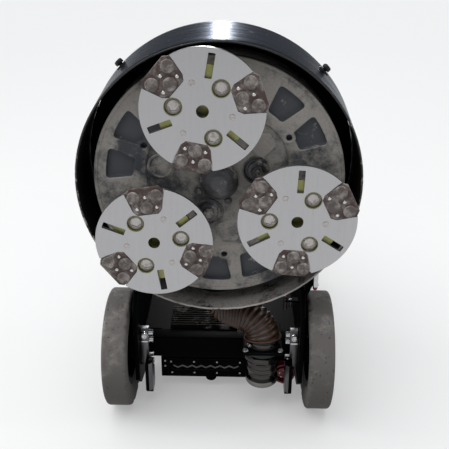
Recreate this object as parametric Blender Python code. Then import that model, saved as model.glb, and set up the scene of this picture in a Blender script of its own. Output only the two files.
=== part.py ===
"""Three-head planetary concrete grinder, tipped back on its wheels for a tool change.

Metres. X is to the right, Y runs back along the head axis, Z is up, and the floor is Z = 0.
Lengths along Y are measured from the front rim of the shroud.
"""
import math

import bmesh
import bpy
from mathutils import Matrix, Vector

for old in list(bpy.data.objects):
    bpy.data.objects.remove(old, do_unlink=True)

# ---- driving dimensions ------------------------------------------------------------------
GAP = 0.0003                 # clearance between pieces that touch
HEAD_Z = 0.561               # height of the head axis above the floor
SHROUD_R_FRONT = 0.2785      # outer radius of the shroud band at its front rim
SHROUD_R_BACK = 0.2845
SHROUD_DEPTH = 0.177
SHROUD_WALL = 0.004
DECK_THICK = 0.015
CARRIER_R = 0.2475
CARRIER_Y = 0.031            # face of the carrier disc behind the rim
CARRIER_BACK = 0.125
ORBIT_R = 0.1623             # circle that the three plate axes lie on
CARRIER_TURN = -9.9          # degrees from straight up to the first plate axis, clockwise
PLATE_R = 0.115
PLATE_THICK = 0.008
PLATE_Y = -0.038             # front face of the grinding plates
PLATE_TURNS = (9.6, 2.4, 50.7)
BOLT_CIRCLE = 0.0535
HOLDER_R = 0.084
BOLT_ANGLE = 29              # degrees from a slot to the next sunk screw, and to the next pad
PAD_ANGLE = 61
PAD_INNER, PAD_OUTER = 0.0615, 0.1165      # from the plate's axis to a pad's two ends
PAD_INNER_HALF, PAD_OUTER_HALF = 0.0275, 0.0365
PAD_CUT = 0.008
SEGMENT_PLACES = ((0, 0.0752), (-0.0220, 0.0985), (0.0220, 0.0985))
SEGMENT_R = 0.0125
SEGMENT_PROUD = 0.006
SHAFT_R = 0.020              # spindle shaft
PULLEY_R = 0.050
SUN_R = 0.025
BELT_THICK = 0.004
BELT_WIDTH = 0.014
GEAR_R = 0.040
BEARING_R = 0.0447
MOTOR_R = 0.130
MOTOR_FRONT = 0.300
MOTOR_BACK = 0.564
WHEEL_R = 0.133
WHEEL_IN = 0.1943            # inner face of a tyre from the middle of the machine
WHEEL_OUT = 0.2483
RIM_R = 0.086
AXLE_Y = 0.081
AXLE_R = 0.0125
PLATE_IN = 0.178             # inner face of a side plate
PLATE_OUT = 0.188
CLAMP_IN = 0.160
BEAM_Y = (0.085, 0.125)
BEAM_Z = (0.100, 0.153)
CABINET_X = (-0.1375, 0.158)
CABINET_Z = (0.034, 0.145)
CABINET_Y = (0.100, 0.520)
SHEET = 0.003                # wall of the cabinet
COUPLING = (0.097, 0.045)    # X and Y of the upright axis of the hose coupling
COUPLING_R = 0.0365
HOSE_R = 0.033
HOSE_BEND = 0.038
HOSE_LEVEL = 0.2290          # height of the hose's middle run
PORT = (-0.010, 0.118)        # X and Y of the dust port in the shroud
FRAME_X = 0.207
FRAME_R = 0.017
BAR_X = 0.2465
BAR_R = 0.016
HINGE = (0.500, 0.062)       # Y and Z of the handlebar's hinge
HANDLE_END = 1.020
BOX_X = 0.085                # half width of the control box
BOX_Y = (0.985, 1.075)
BOX_Z = (0.032, 0.092)
STOP_BUTTON_X, START_BUTTON_X, KNOB_X = 0.050, 0.0, -0.050
BUTTON_PROUD = 0.020
LENGTH_MIDDLE = (AXLE_Y - WHEEL_R + BOX_Y[1] + BUTTON_PROUD) / 2


def spindle_centre(number):
    turn = math.radians(CARRIER_TURN + 120 * number)
    return Vector((ORBIT_R * math.sin(turn), 0, HEAD_Z + ORBIT_R * math.cos(turn)))


# Each moving body hangs on an empty that stands on its joint's axis.
BODY_AT = {
    "machine": Vector((0, 0, 0)),
    "carrier": Vector((0, 0, HEAD_Z)),
    "rotor": Vector((0, 0, HEAD_Z)),
    "wheel_left": Vector((0, AXLE_Y, WHEEL_R)),
    "wheel_right": Vector((0, AXLE_Y, WHEEL_R)),
    "handle": Vector((0, HINGE[0], HINGE[1])),
    "lid": Vector((0, CABINET_Y[1] + 0.002, CABINET_Z[1] + 0.002)),
    "spindle_1": spindle_centre(0),
    "spindle_2": spindle_centre(1),
    "spindle_3": spindle_centre(2),
}
EMPTIES = {}
for body, at in BODY_AT.items():
    empty = bpy.data.objects.new(body + "_axis", None)
    bpy.context.scene.collection.objects.link(empty)
    if body == "machine":
        empty.location = (0, -LENGTH_MIDDLE, 0)
    else:
        empty.parent = EMPTIES["machine"]
        empty.location = at
    EMPTIES[body] = empty
for number, turn in enumerate(PLATE_TURNS):
    EMPTIES["spindle_%d" % (number + 1)].rotation_euler = (0, math.radians(turn), 0)


def material(name, colour, roughness, metallic):
    made = bpy.data.materials.new(name)
    made.use_nodes = True
    shader = made.node_tree.nodes["Principled BSDF"]
    shader.inputs["Base Color"].default_value = (*colour, 1)
    shader.inputs["Roughness"].default_value = roughness
    shader.inputs["Metallic"].default_value = metallic
    return made


BRIGHT_STEEL = material("bright_steel", (0.55, 0.56, 0.57), 0.3, 1.0)
DARK_STEEL = material("dark_steel", (0.08, 0.08, 0.09), 0.35, 0.9)
CAST_METAL = material("dusty_cast_metal", (0.30, 0.29, 0.28), 0.75, 0.3)
BLACK_PAINT = material("black_paint", (0.02, 0.02, 0.022), 0.5, 0.0)
ZINC = material("yellow_zinc", (0.50, 0.50, 0.30), 0.4, 0.8)
PAD = material("dusty_pad", (0.30, 0.25, 0.23), 0.8, 0.2)
RUBBER = material("grey_rubber", (0.30, 0.29, 0.28), 0.85, 0.0)
BLACK_RUBBER = material("black_rubber", (0.02, 0.02, 0.02), 0.8, 0.0)
HOSE_PLASTIC = material("brown_hose", (0.40, 0.26, 0.16), 0.45, 0.0)
RED_PLASTIC = material("red_plastic", (0.45, 0.01, 0.02), 0.4, 0.0)
GREEN_PLASTIC = material("green_plastic", (0.02, 0.30, 0.08), 0.4, 0.0)
MOTOR_PAINT = material("grey_paint", (0.20, 0.21, 0.22), 0.5, 0.1)


# ---- shapes -------------------------------------------------------------------------------
def finish(name, shape, finish_material, body, own_origin=None, smooth=False):
    """Store a bmesh given in the machine's frame as an object on its body's empty."""
    bmesh.ops.recalc_face_normals(shape, faces=shape.faces)
    origin = BODY_AT[body] if own_origin is None else own_origin
    bmesh.ops.translate(shape, verts=shape.verts, vec=-origin)
    mesh = bpy.data.meshes.new(name)
    shape.to_mesh(mesh)
    shape.free()
    if smooth:
        mesh.shade_smooth()
        mesh.set_sharp_from_angle(angle=math.radians(35))
    mesh.materials.append(finish_material)
    piece = bpy.data.objects.new(name, mesh)
    bpy.context.scene.collection.objects.link(piece)
    piece.parent = EMPTIES[body]
    piece.location = origin - BODY_AT[body]
    return piece


def turned(profile, steps, centre=(0, 0, 0), axis="Y"):
    """Revolve a closed outline of (radius, along) points about an axis through centre."""
    shape = bmesh.new()
    points = [shape.verts.new((radius, 0, along)) for radius, along in profile]
    edges = [shape.edges.new((points[i], points[(i + 1) % len(points)])) for i in range(len(points))]
    bmesh.ops.spin(shape, geom=points + edges, cent=(0, 0, 0), axis=(0, 0, 1), dvec=(0, 0, 0),
                   angle=2 * math.pi, steps=steps, use_merge=True)
    bmesh.ops.remove_doubles(shape, verts=shape.verts, dist=1e-6)
    loose = [edge for edge in shape.edges if not edge.link_faces]
    bmesh.ops.delete(shape, geom=loose, context="EDGES")
    turn = {"Y": Matrix.Rotation(-math.pi / 2, 4, "X"), "X": Matrix.Rotation(math.pi / 2, 4, "Y"),
            "Z": Matrix.Identity(4)}[axis]
    bmesh.ops.transform(shape, matrix=Matrix.Translation(centre) @ turn, verts=shape.verts)
    return shape


def circle(radius, sides, centre=(0, 0), start=0.0):
    return [(centre[0] + radius * math.sin(start + 2 * math.pi * i / sides),
             centre[1] + radius * math.cos(start + 2 * math.pi * i / sides)) for i in range(sides)]


def clear(radius, sides):
    """Corner radius of a polygon hole whose flats keep the gap to a round of this radius."""
    return (radius + GAP) / math.cos(math.pi / sides)


def sheet(outlines, low, high, plane="XZ", centre=(0, 0, 0)):
    """A flat plate: the first outline is its edge, the others are holes."""
    shape = bmesh.new()
    edges = []
    for outline in outlines:
        points = [shape.verts.new((first, second, 0)) for first, second in outline]
        edges += [shape.edges.new((points[i], points[(i + 1) % len(points)]))
                  for i in range(len(points))]
    bmesh.ops.triangle_fill(shape, use_beauty=True, use_dissolve=False, edges=edges)
    bmesh.ops.translate(shape, verts=shape.verts, vec=(0, 0, low))
    pushed = bmesh.ops.extrude_face_region(shape, geom=list(shape.faces), use_keep_orig=True)
    moved = [item for item in pushed["geom"] if isinstance(item, bmesh.types.BMVert)]
    bmesh.ops.translate(shape, verts=moved, vec=(0, 0, high - low))
    turn = {"XZ": Matrix(((1, 0, 0, 0), (0, 0, 1, 0), (0, 1, 0, 0), (0, 0, 0, 1))),
            "YZ": Matrix(((0, 0, 1, 0), (1, 0, 0, 0), (0, 1, 0, 0), (0, 0, 0, 1))),
            "XY": Matrix.Identity(4)}[plane]
    bmesh.ops.transform(shape, matrix=Matrix.Translation(centre) @ turn, verts=shape.verts)
    return shape


def block(low, high):
    shape = bmesh.new()
    bmesh.ops.create_cube(shape, size=1)
    size = Vector(high) - Vector(low)
    bmesh.ops.scale(shape, vec=size, verts=shape.verts)
    bmesh.ops.translate(shape, vec=(Vector(high) + Vector(low)) / 2, verts=shape.verts)
    return shape


def rod(radius, start, end, axis, centre, sides=24):
    return turned([(0, start), (radius, start), (radius, end), (0, end)], sides, centre, axis)


def combine(target, tool_shape, operation, body, own_origin=None):
    """Add or cut a hidden tool shape on a piece with an exact Boolean."""
    tool = finish(target.name + "_tool_%d" % len(target.modifiers), tool_shape, BLACK_PAINT,
                  body, own_origin)
    tool.hide_render = True
    tool.display_type = "WIRE"
    step = target.modifiers.new(operation.lower(), "BOOLEAN")
    step.operation = operation
    step.solver = "EXACT"
    step.object = tool


def smooth_path(corners, radius, steps=6):
    """Points along straight runs whose corners are rounded to a radius."""
    points = [Vector(corners[0])]
    for before, corner, after in zip(corners, corners[1:], corners[2:]):
        before, corner, after = Vector(before), Vector(corner), Vector(after)
        inward, outward = (before - corner).normalized(), (after - corner).normalized()
        half = inward.angle(outward) / 2
        reach = radius / math.tan(half)
        middle = corner + (inward + outward).normalized() * radius / math.sin(half)
        start, end = corner + inward * reach - middle, corner + outward * reach - middle
        for i in range(steps + 1):
            points.append(middle + start.normalized().slerp(end.normalized(), i / steps) * radius)
    points.append(Vector(corners[-1]))
    return points


def tube(name, points, radius, finish_material, body, sides=2):
    """A round bar or hose along points, with filled ends."""
    curve = bpy.data.curves.new(name, "CURVE")
    curve.dimensions = "3D"
    curve.bevel_depth = radius
    curve.bevel_resolution = sides
    curve.use_fill_caps = True
    spline = curve.splines.new("POLY")
    spline.points.add(len(points) - 1)
    for point, place in zip(spline.points, points):
        point.co = (*(Vector(place) - BODY_AT[body]), 1)
    curve.materials.append(finish_material)
    piece = bpy.data.objects.new(name, curve)
    bpy.context.scene.collection.objects.link(piece)
    piece.parent = EMPTIES[body]
    return piece


HEAD_CENTRE = (0, 0, HEAD_Z)


# ---- head: shroud, deck, drive ---------------------------------------------------------------
def make_shroud():
    lip = 0.0012
    band = turned([(SHROUD_R_FRONT - SHROUD_WALL, lip), (SHROUD_R_FRONT - SHROUD_WALL + lip, 0),
                   (SHROUD_R_FRONT - lip, 0), (SHROUD_R_FRONT, lip),
                   (SHROUD_R_BACK, SHROUD_DEPTH), (SHROUD_R_BACK - SHROUD_WALL, SHROUD_DEPTH)],
                  64, HEAD_CENTRE)
    band = finish("shroud_band", band, DARK_STEEL, "machine", smooth=True)
    combine(band, rod(HOSE_R, HEAD_Z - 0.32, HEAD_Z - 0.24, "Z", (*PORT, 0), 32), "DIFFERENCE",
            "machine")
    port = turned([(HOSE_R + 0.0005, 0.2675), (0.045, 0.2675), (0.045, 0.30), (HOSE_R + 0.0005, 0.30)],
                  32, (*PORT, 0), "Z")
    port = finish("dust_port", port, BLACK_PAINT, "machine", smooth=True)
    combine(port, rod(SHROUD_R_BACK + GAP, 0.04, 0.24, "Y", HEAD_CENTRE, 64), "DIFFERENCE", "machine")


def make_deck():
    back, front = SHROUD_DEPTH, SHROUD_DEPTH - DECK_THICK
    outer = SHROUD_R_BACK - SHROUD_WALL - 0.0010
    neck, bore, neck_front = 0.0347, 0.018, CARRIER_BACK - 0.017
    deck = turned([(bore, neck_front), (neck, neck_front), (neck, front), (outer, front),
                   (outer, back), (bore, back)], 48, HEAD_CENTRE)
    finish("head_deck", deck, BLACK_PAINT, "machine", smooth=True)
    inner = clear(neck, 24)
    bearing = turned([(inner, 0.111), (BEARING_R, 0.111), (BEARING_R, 0.1245), (inner, 0.1245)],
                     24, HEAD_CENTRE)
    finish("carrier_bearing", bearing, BRIGHT_STEEL, "machine", smooth=True)
    inner = clear(ORBIT_R + GEAR_R, 36)
    ring = turned([(inner, 0.130), (0.225, 0.130), (0.225, front - GAP), (inner, front - GAP)],
                  36, HEAD_CENTRE)
    finish("ring_gear", ring, BRIGHT_STEEL, "machine", smooth=True)


def make_drive():
    start, end = SHROUD_DEPTH + GAP, MOTOR_FRONT - GAP
    housing = turned([(0.018, start), (0.145, start), (0.145, start + 0.014), (0.105, start + 0.020),
                      (0.105, end - 0.016), (0.135, end - 0.012), (0.135, end), (0.018, end)],
                     32, HEAD_CENTRE)
    finish("drive_housing", housing, CAST_METAL, "machine", smooth=True)
    fins, valley, fin_part = 24, 0.117, 0.38
    outline = []
    for i in range(fins):
        for part, radius in ((0, MOTOR_R), (fin_part, MOTOR_R), (fin_part, valley), (1, valley)):
            turn = 2 * math.pi * (i + part) / fins
            outline.append((radius * math.sin(turn), radius * math.cos(turn)))
    motor = sheet([outline, circle(0.0155, 24)], MOTOR_FRONT, MOTOR_BACK, "XZ", HEAD_CENTRE)
    finish("motor_body", motor, MOTOR_PAINT, "machine")
    inside, outside = 0.128, 0.131
    cover = turned([(inside, MOTOR_BACK + GAP), (outside, MOTOR_BACK + GAP), (outside, 0.622),
                    (0.122, 0.630), (0.0155, 0.630), (0.0155, 0.627), (0.120, 0.627),
                    (inside, 0.620)], 32, HEAD_CENTRE)
    finish("motor_fan_cover", cover, MOTOR_PAINT, "machine", smooth=True)
    box = block((-0.055, 0.370, HEAD_Z + MOTOR_R + GAP), (0.055, 0.480, HEAD_Z + MOTOR_R + 0.060))
    bmesh.ops.bevel(box, geom=box.edges, offset=0.006, segments=1, affect="EDGES", profile=0.5,
                    material=-1)
    finish("terminal_box", box, MOTOR_PAINT, "machine")
    shaft = turned([(0, 0.056), (SUN_R, 0.056), (SUN_R, 0.104), (0.015, 0.104), (0.015, 0.575),
                    (0.105, 0.575), (0.105, 0.592), (0.015, 0.592), (0.015, 0.600), (0, 0.600)],
                   24, HEAD_CENTRE)
    finish("motor_rotor", shaft, BRIGHT_STEEL, "rotor", smooth=True)


def make_head_mounts():
    for side, name in ((-1, "left"), (1, "right")):
        corner = 0.020
        outline = [(0.1773, HEAD_Z - 0.055), (0.250, HEAD_Z - 0.055), (0.250 + corner, HEAD_Z - 0.035),
                   (0.250 + corner, HEAD_Z + 0.035), (0.250, HEAD_Z + 0.055), (0.1773, HEAD_Z + 0.055)]
        low, high = sorted((side * 0.152, side * (PLATE_IN - GAP)))
        finish("head_mount_" + name, sheet([outline], low, high, "YZ"), BLACK_PAINT, "machine")


# ---- carrier and its three heads ------------------------------------------------------------
def make_carrier():
    face_back, wall = CARRIER_Y + 0.018, 0.012
    centres = []
    windows = []
    for number in range(3):
        turn = math.radians(CARRIER_TURN + 120 * number)
        centres.append((ORBIT_R * math.sin(turn), ORBIT_R * math.cos(turn)))
        for half in (-11.2, 11.2):
            middle = math.radians(CARRIER_TURN + 60 + 120 * number + half)
            inner, outer, inner_turn, outer_turn = 0.170, 0.222, 6.0, 8.2
            corners = [(inner, -inner_turn), (outer, -outer_turn), (outer + 0.004, 0),
                       (outer, outer_turn), (inner, inner_turn)]
            windows.append([(radius * math.sin(middle + math.radians(away)),
                             radius * math.cos(middle + math.radians(away)))
                            for radius, away in corners])
    holes = [circle(clear(SHAFT_R, 16), 16, centre) for centre in centres]
    carrier = sheet([circle(CARRIER_R, 64)] + holes + windows, CARRIER_Y, face_back, "XZ", HEAD_CENTRE)
    carrier = finish("carrier_disc", carrier, CAST_METAL, "carrier")
    drum = turned([(CARRIER_R - wall, face_back - 0.002), (CARRIER_R - 0.001, face_back - 0.002),
                   (CARRIER_R - 0.001, CARRIER_BACK - 0.002), (CARRIER_R - wall, CARRIER_BACK - 0.002)],
                  48, HEAD_CENTRE)
    combine(carrier, drum, "UNION", "carrier")
    back = sheet([circle(CARRIER_R - 0.004, 48), circle(clear(BEARING_R, 24), 24)] + holes,
                 CARRIER_BACK - 0.014, CARRIER_BACK, "XZ", HEAD_CENTRE)
    combine(carrier, back, "UNION", "carrier")
    cap = turned([(0, 0.012), (0.028, 0.012), (0.036, 0.016), (0.039, 0.022), (0.039, CARRIER_Y - GAP),
                  (0, CARRIER_Y - GAP)], 24, HEAD_CENTRE)
    finish("carrier_hub_cap", cap, DARK_STEEL, "carrier", smooth=True)


def belt_outline(turn, small, large, distance):
    """The tight loop round a small wheel at the middle and a large one at a distance."""
    lean = math.asin((large - small) / distance)
    points = []
    steps = 10
    for i in range(steps + 1):
        angle = turn + math.pi / 2 + lean + (math.pi - 2 * lean) * i / steps
        points.append((small * math.sin(angle), small * math.cos(angle)))
    for i in range(steps + 1):
        angle = turn - math.pi / 2 - lean + (math.pi + 2 * lean) * i / steps
        points.append((distance * math.sin(turn) + large * math.sin(angle),
                       distance * math.cos(turn) + large * math.cos(angle)))
    return points


def make_belts():
    clearance = 0.0015
    for number in range(3):
        turn = math.radians(CARRIER_TURN + 120 * number)
        low = 0.058 + 0.016 * number
        inside = belt_outline(turn, SUN_R + clearance, PULLEY_R + clearance, ORBIT_R)
        outside = belt_outline(turn, SUN_R + clearance + BELT_THICK,
                               PULLEY_R + clearance + BELT_THICK, ORBIT_R)
        belt = sheet([outside, inside], low, low + BELT_WIDTH, "XZ", HEAD_CENTRE)
        finish("drive_belt_%d" % (number + 1), belt, BLACK_RUBBER, "carrier")


def pad_outline():
    """Trapezoid of a pad, with its narrow side towards the plate's middle and its corners cut."""
    inner, outer, cut = PAD_INNER, PAD_OUTER, PAD_CUT
    half = [(PAD_INNER_HALF - cut, inner), (PAD_INNER_HALF, inner + cut),
            (PAD_OUTER_HALF, outer - cut), (PAD_OUTER_HALF - cut, outer)]
    return half + [(-x, z) for x, z in reversed(half)]


def pocket_outline():
    """The pad's outline with clearance, its sides run on past the plate's edge."""
    cut, room = PAD_CUT, 2 * GAP
    spread = (PAD_OUTER_HALF - PAD_INNER_HALF) / (PAD_OUTER - PAD_INNER - 2 * cut)
    far = PLATE_R + 0.020
    half = [(PAD_INNER_HALF - cut + room, PAD_INNER - room), (PAD_INNER_HALF + room, PAD_INNER + cut),
            (PAD_OUTER_HALF + room + spread * (far - PAD_OUTER + cut), far)]
    return half + [(-x, z) for x, z in reversed(half)]


def turn_points(points, degrees):
    angle = math.radians(degrees)
    return [(x * math.cos(angle) + z * math.sin(angle), z * math.cos(angle) - x * math.sin(angle))
            for x, z in points]


def make_head(number):
    body = "spindle_%d" % number
    centre = BODY_AT[body]
    holder_front = PLATE_Y + PLATE_THICK + GAP
    nose_front, nose_r, neck_r, neck_back = -0.010, 0.012, 0.046, 0.012
    pulley_front, pulley_back, gear_front, gear_back = 0.055, 0.107, 0.130, 0.150
    spindle = turned([(0, nose_front), (nose_r, nose_front), (nose_r, holder_front),
                      (HOLDER_R, holder_front), (HOLDER_R, holder_front + 0.006),
                      (0.062, holder_front + 0.008), (0.058, 0.002), (neck_r, neck_back),
                      (SHAFT_R, neck_back), (SHAFT_R, pulley_front), (PULLEY_R, pulley_front),
                      (PULLEY_R, pulley_back), (SHAFT_R, pulley_back), (SHAFT_R, gear_front),
                      (GEAR_R, gear_front), (GEAR_R, gear_back), (0, gear_back)], 24, centre)
    finish("spindle_holder_%d" % number, spindle, ZINC, body, smooth=True)

    slot_in, slot_out, slot_half = 0.0604, 0.1055, 0.0063
    pocket_floor = PLATE_Y + PLATE_THICK - 0.003
    slot = [(-slot_half, slot_in), (slot_half, slot_in), (slot_half, slot_out), (-slot_half, slot_out)]
    outlines = [circle(PLATE_R, 48), circle(0.0115, 12)]
    for third in range(3):
        outlines.append(turn_points(slot, 120 * third))
        bolt = turn_points([(0, BOLT_CIRCLE)], 120 * third + BOLT_ANGLE)[0]
        outlines.append(circle(0.017, 12, bolt))
    plate = sheet(outlines, PLATE_Y, PLATE_Y + PLATE_THICK, "XZ", centre)
    plate = finish("grinding_plate_%d" % number, plate, BRIGHT_STEEL, body)
    for third in range(3):
        pocket = sheet([turn_points(pocket_outline(), 120 * third + PAD_ANGLE)], PLATE_Y - 0.01,
                       pocket_floor, "XZ", centre)
        combine(plate, pocket, "DIFFERENCE", body)
    for third in range(3):
        turn = 120 * third + PAD_ANGLE
        pad = sheet([turn_points(pad_outline(), turn)], PLATE_Y - 0.001, pocket_floor - GAP, "XZ",
                    centre)
        pad = finish("diamond_pad_%d_%d" % (number, third + 1), pad, PAD, body)
        for x, z in SEGMENT_PLACES:
            x, z = turn_points([(x, z)], turn)[0]
            segment = rod(SEGMENT_R, PLATE_Y - SEGMENT_PROUD, PLATE_Y + 0.002, "Y",
                          centre + Vector((x, 0, z)), 12)
            combine(pad, segment, "UNION", body)


# ---- wheels and chassis ----------------------------------------------------------------------
def make_wheel(side, name):
    centre = (0, AXLE_Y, WHEEL_R)
    inner, outer, soft = WHEEL_IN, WHEEL_OUT, 0.006

    def sided(profile):
        return [(radius, side * along) for radius, along in profile]

    tyre = turned(sided([(RIM_R + GAP, inner + 0.004), (WHEEL_R - 0.020, inner), (WHEEL_R - soft, inner),
                         (WHEEL_R, inner + soft), (WHEEL_R, outer - soft), (WHEEL_R - soft, outer),
                         (WHEEL_R - 0.020, outer), (RIM_R + GAP, outer - 0.004)]), 36, centre, "X")
    finish("wheel_tyre_" + name, tyre, RUBBER, "wheel_" + name, smooth=True)
    bore = AXLE_R + GAP
    rim = turned(sided([(bore, PLATE_OUT + 0.002), (0.030, PLATE_OUT + 0.002), (0.030, inner + 0.012),
                        (RIM_R - 0.010, inner + 0.012), (RIM_R, inner + 0.005),
                        (RIM_R, outer - 0.005), (RIM_R - 0.010, outer - 0.012),
                        (0.030, outer - 0.012), (0.030, outer + 0.002), (bore, outer + 0.002)]),
                 36, centre, "X")
    finish("wheel_rim_" + name, rim, BLACK_PAINT, "wheel_" + name, smooth=True)
    axle = turned(sided([(0, CLAMP_IN + 0.001), (AXLE_R, CLAMP_IN + 0.001), (AXLE_R, outer + 0.003),
                         (0.020, outer + 0.003), (0.020, outer + 0.009), (0, outer + 0.009)]),
                  16, centre, "X")
    finish("stub_axle_" + name, axle, BRIGHT_STEEL, "machine", smooth=True)


def make_chassis_side(side, name):
    hole = circle(clear(AXLE_R, 16), 16, (AXLE_Y, WHEEL_R))
    outline = [(0.030, 0.074), (0.056, 0.050), (0.100, 0.040), (0.392, 0.038), (0.405, 0.050),
               (0.405, 0.100), (0.395, 0.112), (0.300, 0.165), (0.264, 0.270), (0.264, 0.600),
               (0.250, 0.614), (0.217, 0.614), (0.203, 0.600), (0.203, 0.345), (0.130, 0.300),
               (0.060, 0.285), (0.030, 0.250)]
    low, high = sorted((side * PLATE_IN, side * PLATE_OUT))
    finish("side_plate_" + name, sheet([outline, hole], low, high, "YZ"), BLACK_PAINT, "machine")
    clamp = [(0.060, 0.100), (0.070, 0.088), (0.127, 0.088), (0.127, 0.154), (0.084, 0.186),
             (0.070, 0.186), (0.060, 0.174)]
    low, high = sorted((side * CLAMP_IN, side * (PLATE_IN - GAP)))
    finish("clamp_plate_" + name, sheet([clamp, hole], low, high, "YZ"), BRIGHT_STEEL, "machine")
    stop = [(0.030, 0.045), (0.040, 0.035), (0.066, 0.035), (0.076, 0.045), (0.076, 0.0875),
            (0.0595, 0.0875), (0.0595, 0.118), (0.030, 0.118)]
    low, high = sorted((side * 0.150, side * 0.166))
    finish("stop_bar_" + name, sheet([stop], low, high, "YZ"), BRIGHT_STEEL, "machine")


def make_cabinet():
    (left, right), (front, back), (low, high) = CABINET_X, CABINET_Y, CABINET_Z
    step_y, step_z = BEAM_Y[1] + 0.0035, BEAM_Z[0] - GAP
    outline = [(front, low), (back, low), (back, high), (step_y, high), (step_y, step_z),
               (front, step_z)]
    cabinet = finish("cabinet_body", sheet([outline], left, right, "YZ"), BLACK_PAINT, "machine")
    combine(cabinet, block((left + SHEET, step_y + 0.010, low + SHEET),
                           (right - SHEET, back + 0.02, high - SHEET)), "DIFFERENCE", "machine")
    hanger_low, hanger_front, hanger_back = high - 0.004, 0.136, 0.330
    for inner, outer in ((left + SHEET / 2, -PLATE_IN + GAP), (right - SHEET / 2, PLATE_IN - GAP)):
        combine(cabinet, block((min(inner, outer), hanger_front, hanger_low),
                               (max(inner, outer), hanger_back, high)), "UNION", "machine")
    lid = block((left, back + GAP, low), (right, back + 0.006, high + 0.004))
    finish("cabinet_lid", lid, BLACK_PAINT, "lid")

    pitch, fin, base_top, fin_top = 0.0095, 0.0045, high + 0.004, high + 0.015
    start, count = 0.1300, 9
    outline = [(start, high + GAP)]
    for i in range(count):
        foot = start + pitch * i
        outline += [(foot, fin_top), (foot + fin, fin_top), (foot + fin, base_top),
                    (foot + pitch, base_top)]
    outline[-1:] = [(start + pitch * (count - 1) + fin, high + GAP)]
    del outline[-2]
    finish("heat_sink", sheet([outline], -0.116, 0.040, "YZ"), CAST_METAL, "machine")

    inlet = turned([(0, 0.078), (0.0265, 0.078), (0.0265, front - GAP), (0, front - GAP)], 32,
                   (0.1500, 0, 0.0620))
    inlet = finish("power_inlet", inlet, RED_PLASTIC, "machine", smooth=True)
    beam = block((-CLAMP_IN + GAP, BEAM_Y[0], BEAM_Z[0]), (CLAMP_IN - GAP, BEAM_Y[1], BEAM_Z[1]))
    bmesh.ops.bevel(beam, geom=[edge for edge in beam.edges
                                if abs(edge.verts[0].co.x - edge.verts[1].co.x) > 0.1],
                    offset=0.003, segments=1, affect="EDGES", profile=0.5, material=-1)
    finish("cross_beam", beam, BLACK_PAINT, "machine")


def make_coupling():
    x, y = COUPLING
    plate = [(x - 0.043, 0.002), (x + 0.043, 0.002), (x + 0.043, 0.120), (x - 0.043, 0.120)]
    flange = sheet([plate, circle(0.0303, 24, COUPLING)], 0.166, 0.173, "XY")
    flange = finish("hose_flange", flange, BLACK_PAINT, "machine")
    combine(flange, block((x - 0.036, BEAM_Y[0] + 0.003, BEAM_Z[1] + GAP), (x + 0.036, 0.112, 0.170)),
            "UNION", "machine")
    wall = COUPLING_R
    adapter = turned([(0.026, 0.072), (wall, 0.072), (wall, 0.090), (0.031, 0.096), (0.031, 0.108),
                      (wall, 0.114), (wall, 0.140), (0.039, 0.142), (0.039, 0.163), (0.030, 0.1657),
                      (0.030, 0.1733), (wall, 0.1733), (wall, 0.1905), (HOSE_R + 0.0005, 0.1905),
                      (HOSE_R + 0.0005, 0.1795), (0.026, 0.1760)], 24, (x, y, 0), "Z")
    finish("hose_adapter", adapter, DARK_STEEL, "machine", smooth=True)
    start, end = Vector((*PORT, 0.2730)), Vector((x, y, 0.1800))
    corners = [start, Vector((*PORT, HOSE_LEVEL)), Vector((x, y, HOSE_LEVEL)), end]
    tube("dust_hose", smooth_path(corners, HOSE_BEND, 8), HOSE_R, HOSE_PLASTIC, "machine", 4)


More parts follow.
